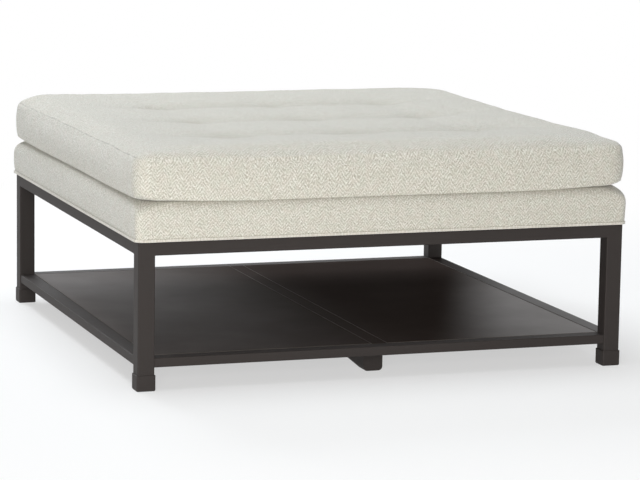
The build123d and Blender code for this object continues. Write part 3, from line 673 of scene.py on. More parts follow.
class PaddedShell:
    """Closed quad mesh of a square pad: a grid above, a grid below, and rings between them."""

    CROWDING = 0.3  # how far the cells crowd towards the corners
    CORNER_FADE = 1.6  # how soon a grid's inner outlines lose their round corners

    def __init__(self, cells: int, levels: Sequence[Level]) -> None:
        """Lays out the mesh.

        Args:
            cells: Cells along each side.
            levels: Outlines from the lowest, where the lower grid ends, to the highest.
        """
        self.cells = cells
        self.levels = list(levels)
        even = np.linspace(-1, 1, cells + 1)
        self.shares = even * (1 + self.CROWDING - self.CROWDING * even**2)
        size = (cells + 1) ** 2
        self.top = np.arange(size).reshape(cells + 1, cells + 1)
        self.bottom = self.top + size
        step = np.arange(cells)
        edge_i = np.concatenate([step, np.full(cells, cells), cells - step, np.zeros(cells, int)])
        edge_j = np.concatenate([np.zeros(cells, int), step, np.full(cells, cells), cells - step])
        self.rings = [self.bottom[edge_i, edge_j]]
        for number in range(len(self.levels) - 2):
            self.rings.append(2 * size + number * 4 * cells + np.arange(4 * cells))
        self.rings.append(self.top[edge_i, edge_j])
        self.points = np.zeros((2 * size + (len(self.levels) - 2) * 4 * cells, 3))
        self.seams = np.zeros(len(self.points))
        self._place_grid(self.top, self.levels[-1])
        self._place_grid(self.bottom, self.levels[0])
        quarter = np.repeat(np.arange(4), cells)
        share = np.tile(self.shares[:-1], 4)
        for ring, level in zip(self.rings, self.levels):
            x, y = turned(*outline(share, level), quarter)
            self.points[ring] = np.stack([x, y, np.full(len(x), level.height)], axis=1)
            self.seams[ring] = level.seam

    def _place_grid(self, grid: np.ndarray, level: Level) -> None:
        """Spreads a grid inside an outline, in outlines that shrink towards the middle.

        Args:
            grid: Numbers of its points.
            level: The outline.
        """
        across, up = np.meshgrid(self.shares, self.shares, indexing="ij")
        scale = np.maximum(np.abs(across), np.abs(up))
        safe = np.maximum(scale, 1e-9)
        quarter = np.where(np.abs(up) >= np.abs(across), np.where(up < 0, 0, 2), np.where(across > 0, 1, 3))
        share = np.select([quarter == 0, quarter == 1, quarter == 2], [across, up, -across], -up) / safe
        for index in np.ndindex(grid.shape):
            size = scale[index]
            corner = level.corner * size**self.CORNER_FADE
            inner = Level(level.height, level.half * size, corner, level.draw_in * size**2)
            x, y = turned(*outline(share[index], inner), quarter[index])
            self.points[grid[index]] = (x, y, level.height)

    def inset(self) -> np.ndarray:
        """How far each point of the upper grid lies in from its outline, in metres."""
        across, up = np.meshgrid(self.shares, self.shares, indexing="ij")
        return (1 - np.maximum(np.abs(across), np.abs(up))) * self.levels[-1].half

    def faces(self) -> List[Face]:
        """All faces, outwards.

        Returns:
            The numbers of each face's points.
        """
        top, bottom = self.top, self.bottom
        found = np.stack([top[:-1, :-1], top[1:, :-1], top[1:, 1:], top[:-1, 1:]], axis=-1).reshape(-1, 4)
        under = np.stack([bottom[:-1, :-1], bottom[:-1, 1:], bottom[1:, 1:], bottom[1:, :-1]], axis=-1)
        sides = []
        for low, high in zip(self.rings, self.rings[1:]):
            sides.append(np.stack([low, np.roll(low, -1), np.roll(high, -1), high], axis=-1))
        return np.concatenate([found, under.reshape(-1, 4), *sides]).tolist()

    def cloth_map(self) -> np.ndarray:
        """Cuts the cloth, panel by panel.

        Returns:
            Place of every face corner in the cut cloth, in metres.
        """
        count = 2 * self.cells**2
        panels = np.array(self.faces()[:count])
        level = max(self.levels, key=lambda one: one.half)
        reach = level.half - level.corner + level.corner * math.pi / 4
        share = np.append(np.tile(self.shares[:-1], 4), self.shares[0])
        quarter = np.append(np.repeat(np.arange(4), self.cells), 4)
        around = (share + 1) * reach + quarter * 2 * reach
        rises = [0.0]
        for low, high in zip(self.levels, self.levels[1:]):
            rises.append(rises[-1] + math.hypot(high.height - low.height, high.half - low.half))
        flat_points = self.points[:, :2] + (reach, rises[-1] + self.levels[-1].half)
        sides = []
        for low, high in zip(rises, rises[1:]):
            square = np.zeros((4 * self.cells, 4, 2))
            left, right = around[:-1], around[1:]
            for corner, (x, y) in enumerate(((left, low), (right, low), (right, high), (left, high))):
                square[:, corner, 0] = x
                square[:, corner, 1] = y
            sides.append(square)
        return np.concatenate([flat_points[panels], *sides]).reshape(-1, 2)

    def build(self, name: str) -> bpy.types.Object:
        """Makes the object, with its cloth map and its seam marks.

        Args:
            name: Name of the piece.

        Returns:
            The object.
        """
        piece = new_piece(name, self.points.tolist(), self.faces())
        layer = piece.data.uv_layers.new(name=CLOTH_MAP)
        layer.data.foreach_set("uv", self.cloth_map().ravel())
        mark = piece.data.attributes.new(SEAM_MARK, "FLOAT", "POINT")
        mark.data.foreach_set("value", self.seams)
        piece.data.shade_smooth()
        return piece


def new_piece(
    name: str,
    points: Sequence[Sequence[float]],
    faces: Sequence[Sequence[int]] = (),
    edges: Sequence[Sequence[int]] = (),
    shown: bool = True,
) -> bpy.types.Object:
    """Makes an object at the origin, with its place in its mesh.

    Args:
        name: Name of the piece.
        points: Its corners, in metres.
        faces: Its faces.
        edges: Its edges, where it is only a path.
        shown: Whether it stands in the scene; a pattern for a row doesn't.

    Returns:
        The object.
    """
    mesh = bpy.data.meshes.new(name)
    mesh.from_pydata([tuple(point) for point in points], edges, [tuple(face) for face in faces])
    mesh.update()
    piece = bpy.data.objects.new(name, mesh)
    if shown:
        bpy.context.scene.collection.objects.link(piece)
    return piece


def read_mesh(mesh: bpy.types.Mesh, what: str = "co") -> np.ndarray:
    """Reads one vector of each of a mesh's vertices.

    Args:
        mesh: The mesh.
        what: "co" for the places, "normal" for the directions.

    Returns:
        One row for each vertex.
    """
    found = np.zeros(len(mesh.vertices) * 3)
    mesh.vertices.foreach_get(what, found)
    return found.reshape(-1, 3)


def write_points(mesh: bpy.types.Mesh, points: np.ndarray) -> None:
    """Moves a mesh's vertices."""
    mesh.vertices.foreach_set("co", points.ravel())
    mesh.update()


@dataclass(frozen=True)
class Ripple:
    """Smooth random unevenness of a cloth: its depth, the width of one swell, and which pattern."""

    depth: float
    width: float
    seed: float

    def over(self, points: np.ndarray) -> np.ndarray:
        """Height of the unevenness at each point.

        Args:
            points: Places in metres.

        Returns:
            One height for each point, from -depth to depth.
        """
        shift = Vector((self.seed, -self.seed, 2 * self.seed))
        return self.depth * np.array([noise.noise(Vector(point) / self.width + shift) for point in points])


def apply_modifiers(piece: bpy.types.Object) -> None:
    """Bakes a piece's modifiers into its mesh and removes them.

    Args:
        piece: The piece.
    """
    graph = bpy.context.evaluated_depsgraph_get()
    baked = bpy.data.meshes.new_from_object(piece.evaluated_get(graph))
    piece.modifiers.clear()
    piece.data = baked


def subdivide(piece: bpy.types.Object) -> None:
    """Rounds a piece by one subdivision and smooths its shading.

    Args:
        piece: The piece.
    """
    finer = piece.modifiers.new("Rounding", "SUBSURF")
    finer.levels = 1
    finer.render_levels = 1
    finer.uv_smooth = "NONE"
    apply_modifiers(piece)
    piece.data.shade_smooth()


class PathTree(NodeTree):
    """Geometry Nodes tree that makes a piece along a path, from named inputs."""

    def __init__(self, name: str, inputs: Mapping[str, str]) -> None:
        """Starts the tree.

        Args:
            name: Name of the tree.
            inputs: Kind of each input, by name, beside the path and the finish that all have.
        """
        super().__init__(bpy.data.node_groups.new(name, "GeometryNodeTree"))
        self.sockets: Dict[str, str] = {}
        for label, kind in {"Path": "Geometry", **inputs, "Finish": "Material"}.items():
            made = self.tree.interface.new_socket(label, in_out="INPUT", socket_type="NodeSocket" + kind)
            self.sockets[label] = made.identifier
        self.tree.interface.new_socket("Piece", in_out="OUTPUT", socket_type="NodeSocketGeometry")
        entry = self.node("NodeGroupInput")
        self.given = {label: self.wire(entry, label) for label in self.sockets}
        self.line = self.add("GeometryNodeMeshToCurve", None, {0: self.given["Path"]})

    def end(self, shape: Wire) -> None:
        """Ends the tree in real geometry, in its finish.

        Args:
            shape: What the tree has made.
        """
        real = self.add("GeometryNodeRealizeInstances", None, {0: shape})
        inputs = {"Geometry": real, "Material": self.given["Finish"]}
        self.node("NodeGroupOutput", None, {0: self.add("GeometryNodeSetMaterial", None, inputs)})

    def run(self, path: bpy.types.Object, values: Mapping[str, object]) -> bpy.types.Object:
        """Runs the tree on a path, and keeps what it makes as a plain mesh.

        Args:
            path: The path, which becomes the piece.
            values: Value of each input, by name.

        Returns:
            The piece.
        """
        modifier = path.modifiers.new("Path", "NODES")
        modifier.node_group = self.tree
        for label, value in values.items():
            modifier[self.sockets[label]] = value
        apply_modifiers(path)
        return path


class RowOf(PathTree):
    """Sets copies of one small piece along a path."""

    def __init__(self, name: str) -> None:
        """Builds the tree.

        Args:
            name: Name of the tree.
        """
        sizes = {"Spacing": "Float", "Wander": "Float", "Tilt": "Float", "Seed": "Int"}
        super().__init__(name, {"Copy": "Object", **sizes})
        given = self.given
        inputs: Dict[Key, Value] = {"Curve": self.line, "Length": given["Spacing"]}
        evenly = self.node("GeometryNodeCurveToPoints", {"mode": "LENGTH"}, inputs)
        inputs = {"Object": given["Copy"]}
        copy = self.add("GeometryNodeObjectInfo", {"transform_space": "ORIGINAL"}, inputs, "Geometry")
        inputs = {"Vector": self.wire(evenly, "Tangent")}
        turn = self.add("FunctionNodeAlignRotationToVector", {"axis": "X", "pivot_axis": "Z"}, inputs)
        low = self.vector_math("SCALE", {0: (-1.0, -1.0, -1.0), "Scale": given["Wander"]})
        high = self.vector_math("SCALE", {0: (1.0, 1.0, 1.0), "Scale": given["Wander"]})
        inputs = {"Min": low, "Max": high, "Seed": given["Seed"]}
        wander = self.add("FunctionNodeRandomValue", {"data_type": "FLOAT_VECTOR"}, inputs)
        inputs = {2: given["Tilt"] * -1.0, 3: given["Tilt"], "Seed": given["Seed"]}
        tilt = self.add("FunctionNodeRandomValue", {"data_type": "FLOAT"}, inputs, 1)
        angles = self.add("FunctionNodeEulerToRotation", None, {0: self.join(0.0, 0.0, tilt)})
        tilted = self.add("FunctionNodeRotateRotation", {"rotation_space": "LOCAL"}, {0: turn, 1: angles})
        inputs = {"Geometry": self.wire(evenly, "Points"), "Offset": wander}
        shifted = self.add("GeometryNodeSetPosition", None, inputs)
        inputs = {"Points": shifted, "Instance": copy, "Rotation": tilted}
        self.end(self.add("GeometryNodeInstanceOnPoints", None, inputs))

    def along(
        self,
        name: str,
        path: Sequence[Point],
        copy: bpy.types.Object,
        finish: bpy.types.Material,
        spacing: float,
        wander: float,
        tilt: float,
        seed: int,
    ) -> bpy.types.Object:
        """Sets copies once round a closed path.

        Args:
            name: Name of the finished piece.
            path: Points that the row follows.
            copy: The small piece. It is only a pattern, and is removed.
            finish: Material of the copies.
            spacing: Distance from one copy to the next.
            wander: How far a copy strays from its place.
            tilt: How far a copy turns from the path's direction, in radians.
            seed: Picks another stray.

        Returns:
            The row as a plain mesh.
        """
        count = len(path)
        row = new_piece(name, path, edges=[(index, (index + 1) % count) for index in range(count)])
        values = {"Copy": copy, "Spacing": spacing, "Wander": wander, "Tilt": tilt, "Seed": seed}
        self.run(row, {**values, "Finish": finish})
        bpy.data.objects.remove(copy)
        return row


class SweptBead(PathTree):
    """Sweeps a low round bead along straight lines."""

    RING_POINTS = 10

    def __init__(self, name: str) -> None:
        """Builds the tree.

        Args:
            name: Name of the tree.
        """
        super().__init__(name, {"Width": "Float", "Height": "Float"})
        upright = self.add("GeometryNodeSetCurveNormal", {"mode": "Z_UP"}, {"Curve": self.line})
        round_bar = {"Resolution": self.RING_POINTS, "Radius": 0.5}
        ring = self.add("GeometryNodeCurvePrimitiveCircle", None, round_bar)
        size = self.join(self.given["Width"], self.given["Height"], 1.0)
        shaped = self.add("GeometryNodeTransform", None, {"Geometry": ring, "Scale": size})
        inputs = {"Curve": upright, "Profile Curve": shaped, "Fill Caps": True}
        self.end(self.add("GeometryNodeCurveToMesh", None, inputs))

    def along(
        self,
        name: str,
        lines: Sequence[Tuple[Point, Point]],
        finish: bpy.types.Material,
        width: float,
        height: float,
    ) -> bpy.types.Object:
        """Sweeps the bead along straight lines.

        Args:
            name: Name of the finished piece.
            lines: Start and end of each line.
            finish: Material of the bead.
            width: Width of the bead.
            height: Thickness of the bead, half of it above the line.

        Returns:
            The beads as a plain mesh.
        """
        points = [point for line in lines for point in line]
        bead = new_piece(name, points, edges=[(2 * index, 2 * index + 1) for index in range(len(lines))])
        self.run(bead, {"Width": width, "Height": height, "Finish": finish})
        bead.data.shade_smooth()
        return bead


def circle(radius: float, sides: int) -> List[Tuple[float, float]]:
    """Points round a circle."""
    turns = [2 * math.pi * side / sides for side in range(sides)]
    return [(radius * math.cos(turn), radius * math.sin(turn)) for turn in turns]


def tube_faces(start: int, sides: int, rings: int) -> List[Face]:
    """Walls and ends of a closed tube, facing outwards.

    Args:
        start: Number of its first point.
        sides: Points in each ring, anticlockwise as seen from the tube's far end.
        rings: Rings from its near end to its far end.

    Returns:
        The faces.
    """
    faces: List[Face] = []
    for ring in range(rings - 1):
        for side in range(sides):
            here, there = (start + ring * sides + place for place in (side, (side + 1) % sides))
            faces.append((there, there + sides, here + sides, here))
    last = start + (rings - 1) * sides
    return [*faces, tuple(reversed(range(start, start + sides))), tuple(range(last, last + sides))]


# where a rod's rings lie along its length, and their share of its radius there
ROD_STATIONS = ((-0.5, 0.35), (-0.32, 0.9), (0.0, 1.0), (0.32, 0.9), (0.5, 0.35))


def rod_pattern(name: str, length: float, radius: float, sides: int) -> bpy.types.Object:
    """A short rod with tapered ends along X, for a stitch or a staple.

    Args:
        name: Name of the pattern.
        length: From end to end.
        radius: Half its thickness.
        sides: Corners round it.

    Returns:
        The pattern.
    """
    points = [(along * length, y, z) for along, wide in ROD_STATIONS for y, z in circle(wide * radius, sides)]
    return new_piece(name, points, tube_faces(0, sides, len(ROD_STATIONS)), shown=False)


COVER_CLOTH = {
    "quality": 5,
    "mass": 1.2,
    "tension_stiffness": 60,
    "compression_stiffness": 30,
    "shear_stiffness": 20,
    "bending_stiffness": 8,
    "air_damping": 5,
    "use_pressure": True,
    "uniform_pressure_force": 1.0,
}


@dataclass
class LooseCushion:
    """Boxed cushion that lies on the deck, crowned and tufted three by three."""

    cells: int = 88
    corner: float = 0.038
    corner_growth: float = 0.5
    draw_in: float = 0.007
    # from the flat underside up over the lower seam to the upper seam
    under_rise: float = 0.0147
    under_inset: float = 0.0245
    under_degrees: Tuple[int, ...] = (0, 22, 42, 60, 74)
    seam_inset: float = 0.0025
    seam_lead: Tuple[float, float] = (0.0022, 0.0003)
    boxing: float = 0.0715
    boxing_inset: float = 0.004
    boxing_shares: Tuple[float, ...] = (0.035, 0.1, 0.2, 0.32, 0.45, 0.58, 0.7, 0.81, 0.9, 0.965)
    bulge: float = 0.003
    # how far the front, right, back and left sides hang in their middle
    droop: Tuple[float, float, float, float] = (0.0202, 0.014, 0.016, 0.0132)
    droop_power: float = 6.0
    # how far the top stands up near the front left, front right, back right and back left corners
    corner_lift: Tuple[float, float, float, float] = (0.0, -0.006, 0.0, 0.0065)
    lift_inset: float = 0.065
    lift_reach: float = 0.05
    # the crown of the top, and how far its cloth lies under the full crown
    crown_reach: float = 0.115
    crown_power: float = 4.0
    edge_slack: float = 0.0036
    edge_slack_to: float = 0.31
    edge_slack_run: float = 0.12
    middle_slack: float = 0.0048
    # tufts, and the soft folds along their rows and columns
    tuft_pitch: float = 0.2625
    tuft_depth: float = 0.0166
    tuft_held: float = 0.018
    tuft_reach: float = 0.047
    row_fold: float = 0.0105
    column_fold: float = 0.0024
    fold_reach: float = 0.034
    fold_run: float = 0.14
    tied: float = 0.85
    over_core: float = 0.0012
    tie_width: float = 0.0024
    tie_sides: int = 8
    # seams, and the edges that one cloth rolls over
    groove: float = 0.0016
    seam_drawn: float = 0.12
    low_seam_drawn: float = 0.6
    seam_turn: float = 0.03
    seam_turn_run: float = 0.04
    roll_depth: float = 0.022
    roll_clear: float = 0.012
    roll_passes: int = 16
    roll_reach: float = 0.055
    corner_passes: int = 5
    corner_reach: float = 0.11
    rim_width: float = 0.045
    rim_depth: float = 0.02
    rim_reach: float = 0.022
    # unevenness of the rim and of the whole cover
    wander: Ripple = Ripple(0.0036, 0.12, 3.1)
    buckles: Tuple[Ripple, Ripple] = (Ripple(0.0011, 0.05, 7.7), Ripple(0.0006, 0.022, 1.3))
    # the cloth simulation
    swell_cap: float = 0.0074
    frames: int = 20

    def levels(self) -> List[Level]:
        """Outlines from the flat underside up to the upper seam.

        Returns:
            The outlines.
        """
        low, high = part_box("cushion_cover")
        half = high.x
        found = []
        for degrees in self.under_degrees:
            turn = math.radians(degrees)
            rise = self.under_rise * (1 - math.cos(turn))
            inset = self.under_inset - (self.under_inset - self.seam_inset) * math.sin(turn)
            found.append((low.z + rise, inset, 0.0))
        seam_low = low.z + self.under_rise
        found.append((seam_low - self.seam_lead[0], self.seam_inset + self.seam_lead[1], 0.0))
        found.append((seam_low, self.seam_inset, 1.0))
        for share in self.boxing_shares:
            lean = self.seam_inset + (self.boxing_inset - self.seam_inset) * share
            bulge = self.bulge * 4 * share * (1 - share)
            found.append((seam_low + self.boxing * share, lean - bulge, 0.0))
        found.append((seam_low + self.boxing, self.boxing_inset, 1.0))
        levels = []
        for height, inset, seam in found:
            corner = self.corner + self.corner_growth * max(inset, 0.0)
            levels.append(Level(height, half - inset, corner, self.draw_in, seam))
        return levels

    def tufts(self) -> List[Tuple[float, float]]:
        """Places of the nine tufts."""
        lines = (-self.tuft_pitch, 0.0, self.tuft_pitch)
        return [(x, y) for y in lines for x in lines]

    def hollow(self, points: np.ndarray) -> np.ndarray:
        """Depth of the tufts and of the soft folds between them.

        Args:
            points: Where it is asked for.

        Returns:
            How much lower each point lies.
        """
        x, y = points[:, 0], points[:, 1]
        depth = np.zeros(len(points))
        for along, across, deep in ((x, y, self.row_fold), (y, x, self.column_fold)):
            beyond = np.clip(np.abs(along) - self.tuft_pitch, 0, None)
            fade = np.exp(-((beyond / self.fold_run) ** 2))
            for line in (-self.tuft_pitch, 0.0, self.tuft_pitch):
                depth = np.maximum(depth, deep * fade * np.exp(-(((across - line) / self.fold_reach) ** 2)))
        for tuft_x, tuft_y in self.tufts():
            away = np.hypot(x - tuft_x, y - tuft_y)
            pull = self.tuft_depth * np.exp(-((away / self.tuft_reach) ** 2))
            depth = (depth**3 + pull**3) ** (1 / 3)
        return depth

    def shell(self) -> PaddedShell:
        """The cushion before it swells: crowned above, flat below.

        Returns:
            Its layout.
        """
        shell = PaddedShell(self.cells, self.levels())
        low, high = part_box("cushion_cover")
        rise = high.z - self.levels()[-1].height
        inset = shell.inset().ravel()
        share = np.clip(inset / self.crown_reach, 0, 1)
        edge = np.clip((self.edge_slack_to - inset) / self.edge_slack_run, 0, 1)
        slack = self.middle_slack + (self.edge_slack - self.middle_slack) * edge * edge * (3 - 2 * edge)
        ids = shell.top.ravel()
        pull = self.hollow(shell.points[ids]) * np.clip(share * 2.2, 0, 1)
        crown = rise * (1 - (1 - share) ** self.crown_power)
        shell.points[ids, 2] += crown - slack * np.clip(share * 2, 0, 1) - pull
        x, y = shell.points[ids, 0], shell.points[ids, 1]
        for lift, (side_x, side_y) in zip(self.corner_lift, ((-1, -1), (1, -1), (1, 1), (-1, 1))):
            away = np.hypot(x - side_x * high.x, y - side_y * high.x)
            spread = np.exp(-(((away - self.lift_inset) / self.lift_reach) ** 2))
            shell.points[ids, 2] += lift * spread * np.clip(share * 3, 0, 1)
        x, y = shell.points[:, 0], shell.points[:, 1]
        reach = np.maximum(np.abs(x), np.abs(y))
        along = np.minimum(np.abs(x), np.abs(y)) / np.maximum(reach, 1e-9)
        upright = np.abs(y) >= np.abs(x)
        deepest = np.choose(np.where(upright, np.where(y < 0, 0, 2), np.where(x > 0, 1, 3)), self.droop)
        droop = deepest * (1 - along**self.droop_power)
        height = shell.points[:, 2] - low.z
        above = np.clip(1 - (height - self.under_rise) / self.boxing, 0, 1)
        shell.points[:, 2] -= droop * np.where(height < self.under_rise, height / self.under_rise, above)
        return shell

    def swell(self, piece: bpy.types.Object, shell: PaddedShell) -> None:
        """Blows the cloth up against its tufts and its underside, and keeps the result.

        Args:
            piece: The cushion.
            shell: Its layout.
        """
        before = read_mesh(piece.data)
        held = np.zeros(len(before), bool)
        held[shell.bottom.ravel()] = True
        for ring in shell.rings[:3]:
            held[ring] = True
        upper = before[:, 2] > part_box("cushion_core")[1].z
        for tuft_x, tuft_y in self.tufts():
            held |= upper & (np.hypot(before[:, 0] - tuft_x, before[:, 1] - tuft_y) < self.tuft_held)
        group = piece.vertex_groups.new(name="held")
        group.add(np.flatnonzero(held).tolist(), 1.0, "REPLACE")
        modifier = piece.modifiers.new("Swell", "CLOTH")
        cloth = modifier.settings
        for name, value in COVER_CLOTH.items():
            setattr(cloth, name, value)
        cloth.effector_weights.gravity = 0.0
        cloth.vertex_group_mass = group.name
        modifier.collision_settings.use_collision = False
        modifier.point_cache.frame_start = 1
        modifier.point_cache.frame_end = self.frames
        scene = bpy.context.scene
        for number in range(1, self.frames + 1):
            scene.frame_set(number)
        graph = bpy.context.evaluated_depsgraph_get()
        after = read_mesh(piece.evaluated_get(graph).data)
        piece.modifiers.clear()
        piece.vertex_groups.clear()
        scene.frame_set(1)
        move = after - before
        tied = np.clip(self.hollow(before) / self.row_fold, 0, 1) * upper * self.tied
        move *= (1 - tied)[:, None]
        length = np.linalg.norm(move, axis=1, keepdims=True)
        log.info("cushion swelled by up to %.1f mm", 1000 * float(length.max()))
        move *= self.swell_cap * np.tanh(length / self.swell_cap) / np.maximum(length, 1e-9)
        write_points(piece.data, before + move)

    def roll_edges(self, piece: bpy.types.Object) -> None:
        """Rounds the upper edges: most along the front and back, where one cloth runs over the edge.

        Args:
            piece: The cushion.
        """
        points = read_mesh(piece.data)
        x, y = np.abs(points[:, 0]), np.abs(points[:, 1])
        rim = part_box("cushion_cover")[1].x
        upper = points[:, 2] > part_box("cushion_core")[1].z - self.roll_depth
        rolled = upper & (y > x + self.roll_clear) & (y > rim - self.roll_reach)
        corners = upper & (np.minimum(x, y) > rim - self.corner_reach)
        shape = bmesh.new()
        shape.from_mesh(piece.data)
        shape.verts.ensure_lookup_table()
        regions = ((rolled, self.roll_passes, False), (corners, self.corner_passes, True))
        for region, passes, sideways in regions:
            chosen = [shape.verts[index] for index in np.flatnonzero(region)]
            for _ in range(passes):
                bmesh.ops.smooth_vert(
                    shape, verts=chosen, factor=0.5, use_axis_x=sideways, use_axis_y=True, use_axis_z=True
                )
        shape.to_mesh(piece.data)
        shape.free()
        piece.data.update()

    def paint_tuft_shade(self, piece: bpy.types.Object) -> None:
        """Marks the painted shade in the tufts and in the folds between them, deepest where the cloth is
        drawn in furthest.

        Args:
            piece: The cushion.
        """
        points = read_mesh(piece.data)
        hollow_shade = (self.hollow(points) / self.tuft_depth) ** 2.0
        upper = points[:, 2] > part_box("cushion_core")[1].z - 0.01
        piece.data.attributes.new(TUFT_SHADE_MARK, "FLOAT", "POINT").data.foreach_set("value", hollow_shade * upper)

    def shape_seams(self, piece: bpy.types.Object, shell: PaddedShell) -> None:
        """Draws the seams in, lets the sewn edge wander, and keeps the tufts clear of the foam.

        The marks set both the depth of each seam's groove and the painted shade along it; the upper seam
        shows along the left and right sides only.

        Args:
            piece: The cushion.
            shell: Its layout.
        """
        points = read_mesh(piece.data)
        normals = read_mesh(piece.data, "normal")
        sideways = np.abs(points[:, 0]) - np.abs(points[:, 1])
        across = np.clip((sideways + self.seam_turn) / self.seam_turn_run, 0, 1)
        marks = shell.seams * self.low_seam_drawn
        ring = shell.rings[-1]
        marks[ring] = self.seam_drawn + (1 - self.seam_drawn) * across[ring]
        piece.data.attributes[SEAM_MARK].data.foreach_set("value", marks)
        marks = marks[:, None]
        low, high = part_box("cushion_cover")
        side = np.clip((points[:, 2] - low.z) / (high.z - low.z), 0, 1)
        edge = np.exp(-(((points[:, 2] - (high.z - self.rim_depth)) / self.rim_reach) ** 2))
        rim = np.maximum(np.abs(points[:, 0]), np.abs(points[:, 1])) > high.x - self.rim_width
        points[:, 2] += np.where(rim, edge * self.wander.over(points * (1, 1, 0)), 0.0)
        buckle = sum(ripple.over(points) for ripple in self.buckles)
        points += normals * (buckle * np.clip(side * 6, 0, 1))[:, None]
        points -= normals * marks * self.groove
        top = shell.top.ravel()
        points[top, 2] = np.maximum(points[top, 2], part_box("cushion_core")[1].z + self.over_core)
        write_points(piece.data, points)

    def make_ties(self, dresser: Dresser) -> bpy.types.Object:
        """Cuts the tufting cords off under the drawn cloth, where the solids' own reach higher.

        Args:
            dresser: Gives them their finish.

        Returns:
            The nine cords, as one piece.
        """
        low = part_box("tuft_ties")[0].z
        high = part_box("cushion_core")[1].z + self.over_core / 2
        ring = circle(self.tie_width / 2, self.tie_sides)
        points: List[Point] = []
        faces: List[Face] = []
        for x, y in self.tufts():
            faces += tube_faces(len(points), self.tie_sides, 2)
            points += [(x + right, y + back, height) for height in (low, high) for right, back in ring]
        piece = new_piece("tufting_cords", points, faces)
        dresser.dress(piece, Finish.CORD)
        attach(piece, "cushion")
        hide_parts("tuft_ties")
        return piece

    def make(self, dresser: Dresser) -> bpy.types.Object:
        """Builds, swells, dresses and places the cushion.

        Args:
            dresser: Gives it its cloth.

        Returns:
            The cushion.
        """
        shell = self.shell()
        piece = shell.build("boxed_cushion")
        self.swell(piece, shell)
        self.roll_edges(piece)
        self.shape_seams(piece, shell)
        self.paint_tuft_shade(piece)
        subdivide(piece)
        dresser.dress(piece, Finish.CLOTH)
        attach(piece, "cushion")
        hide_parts("cushion_cover", "cushion_base_cloth")
        return piece


